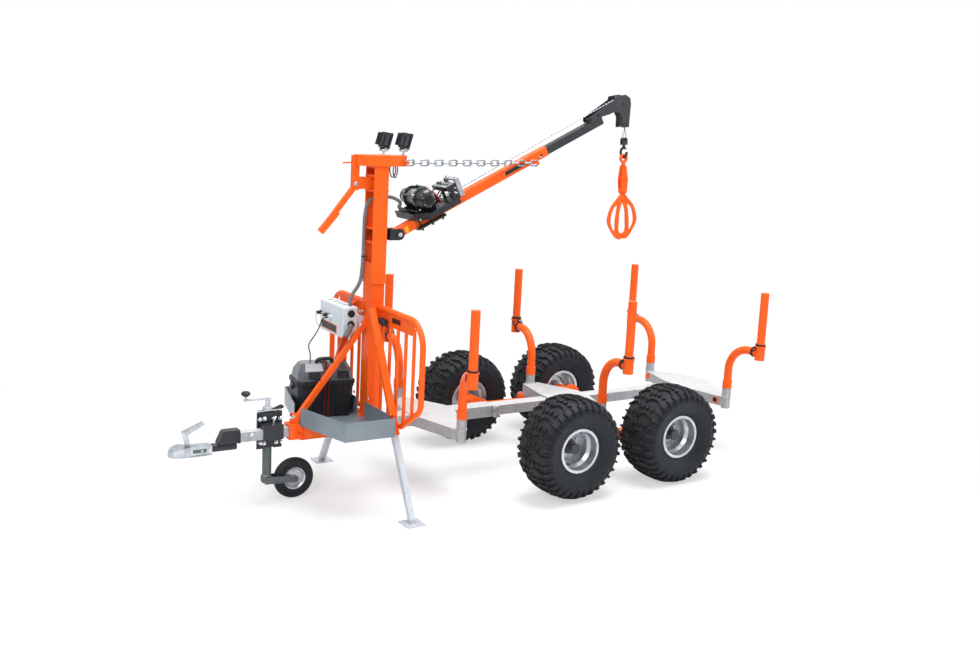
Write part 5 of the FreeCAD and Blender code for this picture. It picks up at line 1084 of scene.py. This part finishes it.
def make_control_sockets():
    """Side sockets, front connectors, switch slots as dark strips of painted shade, and the edge seam of the
    control box.
    """
    dark, seam = bmesh.new(), bmesh.new()
    for z in (957, 899):
        spot = Vector((at(1388, 0, 0).x, CONTROL_HIGH.y, GROUND + z / 1000))
        lathe(dark, [(0.0195, -0.006), (0.0195, 0.004), (0.0175, 0.006), (0.0150, 0.006), (0.0135, 0.001),
                     (0, 0.001)], spot, Y, 28)
    for y, reach in ((-300, 0.024), (-222, 0.020), (-186, 0.016)):
        lathe(dark, [(0.012, 0), (0.012, 0.006), (0.0095, 0.008), (0.0095, reach), (0.007, reach + 0.002),
                     (0, reach + 0.002)], on_front(y, 918), X, 20)
    # the switch slots are dark strips on the top: painted shade
    for y in (-262, -205, -148, -91):
        spot = Vector((SWITCH_X, y / 1000, CONTROL_HIGH.z + 0.0002))
        block(dark, move(spot) @ turned("Z", 18), (0.040, 0.007, 0.0016), 0.0006)
    mesh_piece("control_sockets", dark, "plastic")
    for (ya, za), (yb, zb) in SEAM:
        tube(seam, [at(SEAM_X, ya, za), at(SEAM_X, yb, zb)], 0.0009, 6)
    mesh_piece("control_seam", seam, "conduit", "chassis")


def make_control_fittings():
    """Blank label with its edge, screws and the short bright lead of the control box."""
    for name, look, out, size in (("control_label_edge", "orange", 0.0006, (0.0012, 0.196, 0.044)),
                                  ("control_label", "label", 0.0014, (0.0012, 0.188, 0.036))):
        place = move(on_front(-190, 862, out)) @ turned("X", -1)
        plate_piece(name, look, "chassis", place, size, 0.0004)
    screws, lead = bmesh.new(), bmesh.new()
    lathe(screws, [(0.008, 0), (0.008, 0.005), (0.0045, 0.006), (0.0045, 0.016), (0, 0.017)],
          on_front(-262, 920), X, 16)
    for y in (-296, -35):
        for z in (842, 976):
            lathe(screws, [(0.005, 0), (0.005, 0.0012), (0.003, 0.0022), (0, 0.0022)],
                  on_front(y, z, -0.0005), X, 14)
    bolt(screws, at(1326, -12, 968), Y, 9, 10)
    lathe(screws, [(0.009, 0), (0.009, 0.016), (0.0065, 0.018), (0, 0.018)], at(1326, -14, 968), X, 18)
    mesh_piece("control_screws", screws, "zinc")
    path = [on_front(-300, 918, 0.024), at(1466, -300, 908), at(1462, -303, 880), at(1452, -303, 850),
            at(1437, -300, 838)]
    tube(lead, smooth_path(path, 6), 0.0018, 8)
    mesh_piece("control_lead", lead, "bright", "chassis", 60)


def make_power_plug():
    """The slanting power plug beside the control box, with its red grip and end."""
    plug, red = bmesh.new(), bmesh.new()
    start, end = at(1392, -4, 897), at(1446, 30, 838)
    turn = basis(end - start, Z)
    middle = (start + end) / 2
    block(plug, move(middle) @ turn, (0.030, 0.022, 0.076), 0.006)
    block(plug, move(start + (end - start) * 0.1) @ turn, (0.024, 0.020, 0.030), 0.005)
    mesh_piece("power_plug", plug, "conduit")
    grip = middle + turn.to_3x3() @ Vector((-0.0155, 0, 0.004))
    block(red, move(grip) @ turn, (0.006, 0.018, 0.074), 0.002)
    block(red, move(end) @ turn, (0.024, 0.018, 0.014), 0.003)
    mesh_piece("plug_grips", red, "red", "chassis")


# ---- labels, ties and small fittings
BUNK_FACE_X = BUNKS["rear"] + 46.5


def make_labels():
    """Blank labels and stickers on the boom, the headboard and the rear bunk."""
    along = basis(Y, BOOM_ALONG)
    plate_piece("boom_label", "label", "boom", move(on_boom(787, 7, 25.4)) @ along,
                (0.118, 0.021, 0.0008))
    plate_piece("boom_sticker", "yellow", "boom", move(on_boom(52, 2, 25.4)) @ along,
                (0.020, 0.032, 0.0008))
    face = basis(X, Y)
    plate_piece("headboard_label", "label", "chassis",
                move(at(1258.2, 250, 957)) @ face, (0.090, 0.026, 0.0008))
    for name, y, z, slope in (("near", 250, 352, -0.06), ("far", -240, 354, 0.06)):
        place = move(at(BUNK_FACE_X, y, z)) @ Matrix.Rotation(slope, 4, "Z") @ face
        plate_piece("bunk_strip_" + name, "orange", "chassis", place, (0.200, 0.034, 0.0010))
        if name == "near":
            plate_piece("bunk_label", "label", "chassis", move(X * 0.0008) @ place,
                        (0.180, 0.024, 0.0010))


def make_ties():
    """The cable tie on the mast's conduit and the black clips on the headboard."""
    tie, clips = bmesh.new(), bmesh.new()
    loop_band(tie, at(1327, -20, 1262), Z, 0.0100, 0.005, 0.0016, 20)
    tube(tie, [at(1325, -10, 1262), at(1317, -4, 1262), at(1313, 4, 1260)], 0.0016, 6)
    block(tie, at(1329, -8, 1262), (0.007, 0.006, 0.006))
    mesh_piece("conduit_tie", tie, "strap")
    for y, z in ((118, 938), (150, 934)):
        lathe(clips, [(0.016, -0.012), (0.018, -0.008), (0.018, 0.012), (0.014, 0.016), (0, 0.016)],
              at(1276, y, z), X, 20)
    block(clips, at(1268, 134, 940), (0.012, 0.060, 0.020), 0.003)
    mesh_piece("headboard_clips", clips, "plastic")


make_lamps()
make_battery_strap()
make_battery_fittings()
make_control_sockets()
make_control_fittings()
make_power_plug()
make_labels()
make_ties()
second_look("jockey_tube", "bright", lambda c: c.z > GROUND + 0.471)
second_look("jockey_tube", "plastic", lambda c: c.z > GROUND + 0.549)
second_look("battery_box", "lid", lambda c: c.z > GROUND + 0.597)


# ---- stage
NOSE_UP = math.radians(0.94)
FLOOR_X = 0.7
CAMERA_PLACE = Vector((1.623, 5.378, 1.773))
CAMERA_YAW = -122.33   # degrees from forward, anticlockwise from above
CAMERA_FALL = 9.96     # degrees below level
CAMERA_ROLL = -2.9
CAMERA_LENS = 41.97
CAMERA_SHIFT = -0.0202
LIGHTS = {   # offset from the trailer's middle, size in metres, power in watts
    "key": ((4.6, 3.4, 3.8), 3.0, 205),
    "top": ((-0.5, 0.5, 5.0), 4.0, 430),
    "fill": ((-4.5, 3.5, 2.0), 3.5, 70)}


def maths(tree, kind, first, second):
    """Two sockets joined by a maths node of the given kind."""
    made = node(tree, "ShaderNodeMath")
    made.operation = kind
    wire(tree, first, made.inputs[0])
    wire(tree, second, made.inputs[1])
    return made.outputs[0]


def mix_shaders(tree, fac, first, second, output):
    """Two shaders, mixed by a factor, as the output."""
    mix = node(tree, "ShaderNodeMixShader")
    for source, target in zip((fac, first.outputs[0], second.outputs[0]), mix.inputs):
        wire(tree, source, target)
    wire(tree, mix.outputs[0], output.inputs["Surface"])


def white_world():
    """Soft even light, white where it is seen directly, in gloss or through glass."""
    world = bpy.data.worlds.new("studio")
    bpy.context.scene.world = world
    world.use_nodes = True
    tree = world.node_tree
    tree.nodes.clear()
    rays = node(tree, "ShaderNodeLightPath").outputs
    seen = maths(tree, "MAXIMUM", rays["Is Camera Ray"], rays["Is Glossy Ray"])
    clear = maths(tree, "MAXIMUM", seen, rays["Is Transmission Ray"])
    plain = node(tree, "ShaderNodeBackground", Color=(0.93, 0.965, 1.0, 1), Strength=0.36)
    white = node(tree, "ShaderNodeBackground", Color=(1, 1, 1, 1), Strength=1.0)
    mix_shaders(tree, clear, plain, white, node(tree, "ShaderNodeOutputWorld"))


def floor_material():
    """Pale matt floor that turns to plain white further out."""
    material = bpy.data.materials.new("floor")
    material.use_nodes = True
    tree = material.node_tree
    tree.nodes.clear()
    length = node(tree, "ShaderNodeVectorMath")
    length.operation = "LENGTH"
    wire(tree, own_place(tree), length.inputs[0])
    fade = node(tree, "ShaderNodeMapRange", **{"From Min": 1.2, "From Max": 3.6, "To Min": 0.55})
    fade.interpolation_type = "SMOOTHSTEP"
    wire(tree, length.outputs["Value"], fade.inputs["Value"])
    rays = node(tree, "ShaderNodeLightPath").outputs
    seen = maths(tree, "MULTIPLY", fade.outputs["Result"], rays["Is Camera Ray"])
    matte = node(tree, "ShaderNodeBsdfDiffuse", Color=(0.93, 0.93, 0.93, 1))
    glow = node(tree, "ShaderNodeEmission", Color=(1, 1, 1, 1))
    mix_shaders(tree, seen, matte, glow, node(tree, "ShaderNodeOutputMaterial"))
    return material


def make_floor():
    """The floor under the wheels, which falls away under the raised nose."""
    bm = bmesh.new()
    lathe(bm, [(0, 0), (2.0, 0), (6.0, 0), (40.0, 0)], (0, 0, 0), Z, 64)
    mesh = bpy.data.meshes.new("floor")
    bm.to_mesh(mesh)
    bm.free()
    floor = link("floor", mesh, floor_material())
    floor.location = (BOGIE_X + FLOOR_X, 0, GROUND - FLOOR_X * math.tan(NOSE_UP) - 0.0005)
    floor.rotation_euler = (0, NOSE_UP, 0)
    floor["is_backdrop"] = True


def make_light(name, middle, offset, size, power):
    """A soft square light at an offset from a point, aimed at it."""
    data = bpy.data.lights.new(name, "AREA")
    data.shape = "SQUARE"
    data.size = size
    data.energy = power
    light = bpy.data.objects.new(name, data)
    bpy.context.scene.collection.objects.link(light)
    light.location = middle + Vector(offset)
    light.rotation_euler = (-Vector(offset)).to_track_quat("-Z", "Y").to_euler()


def make_camera():
    """The camera at the viewing angle of the picture."""
    data = bpy.data.cameras.new("camera")
    data.sensor_width = 36.0
    data.lens = CAMERA_LENS
    data.shift_y = CAMERA_SHIFT
    camera = bpy.data.objects.new("camera", data)
    bpy.context.scene.collection.objects.link(camera)
    camera.matrix_world = (move(CAMERA_PLACE) @ turned("Z", CAMERA_YAW - 90)
                           @ turned("X", 90 - CAMERA_FALL) @ turned("Z", -CAMERA_ROLL))
    bpy.context.scene.camera = camera


white_world()
make_floor()
middle = sum(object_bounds(), Vector()) / 2
for light_name, values in LIGHTS.items():
    make_light(light_name, middle, *values)
make_camera()
bpy.context.scene.view_settings.view_transform = "Standard"
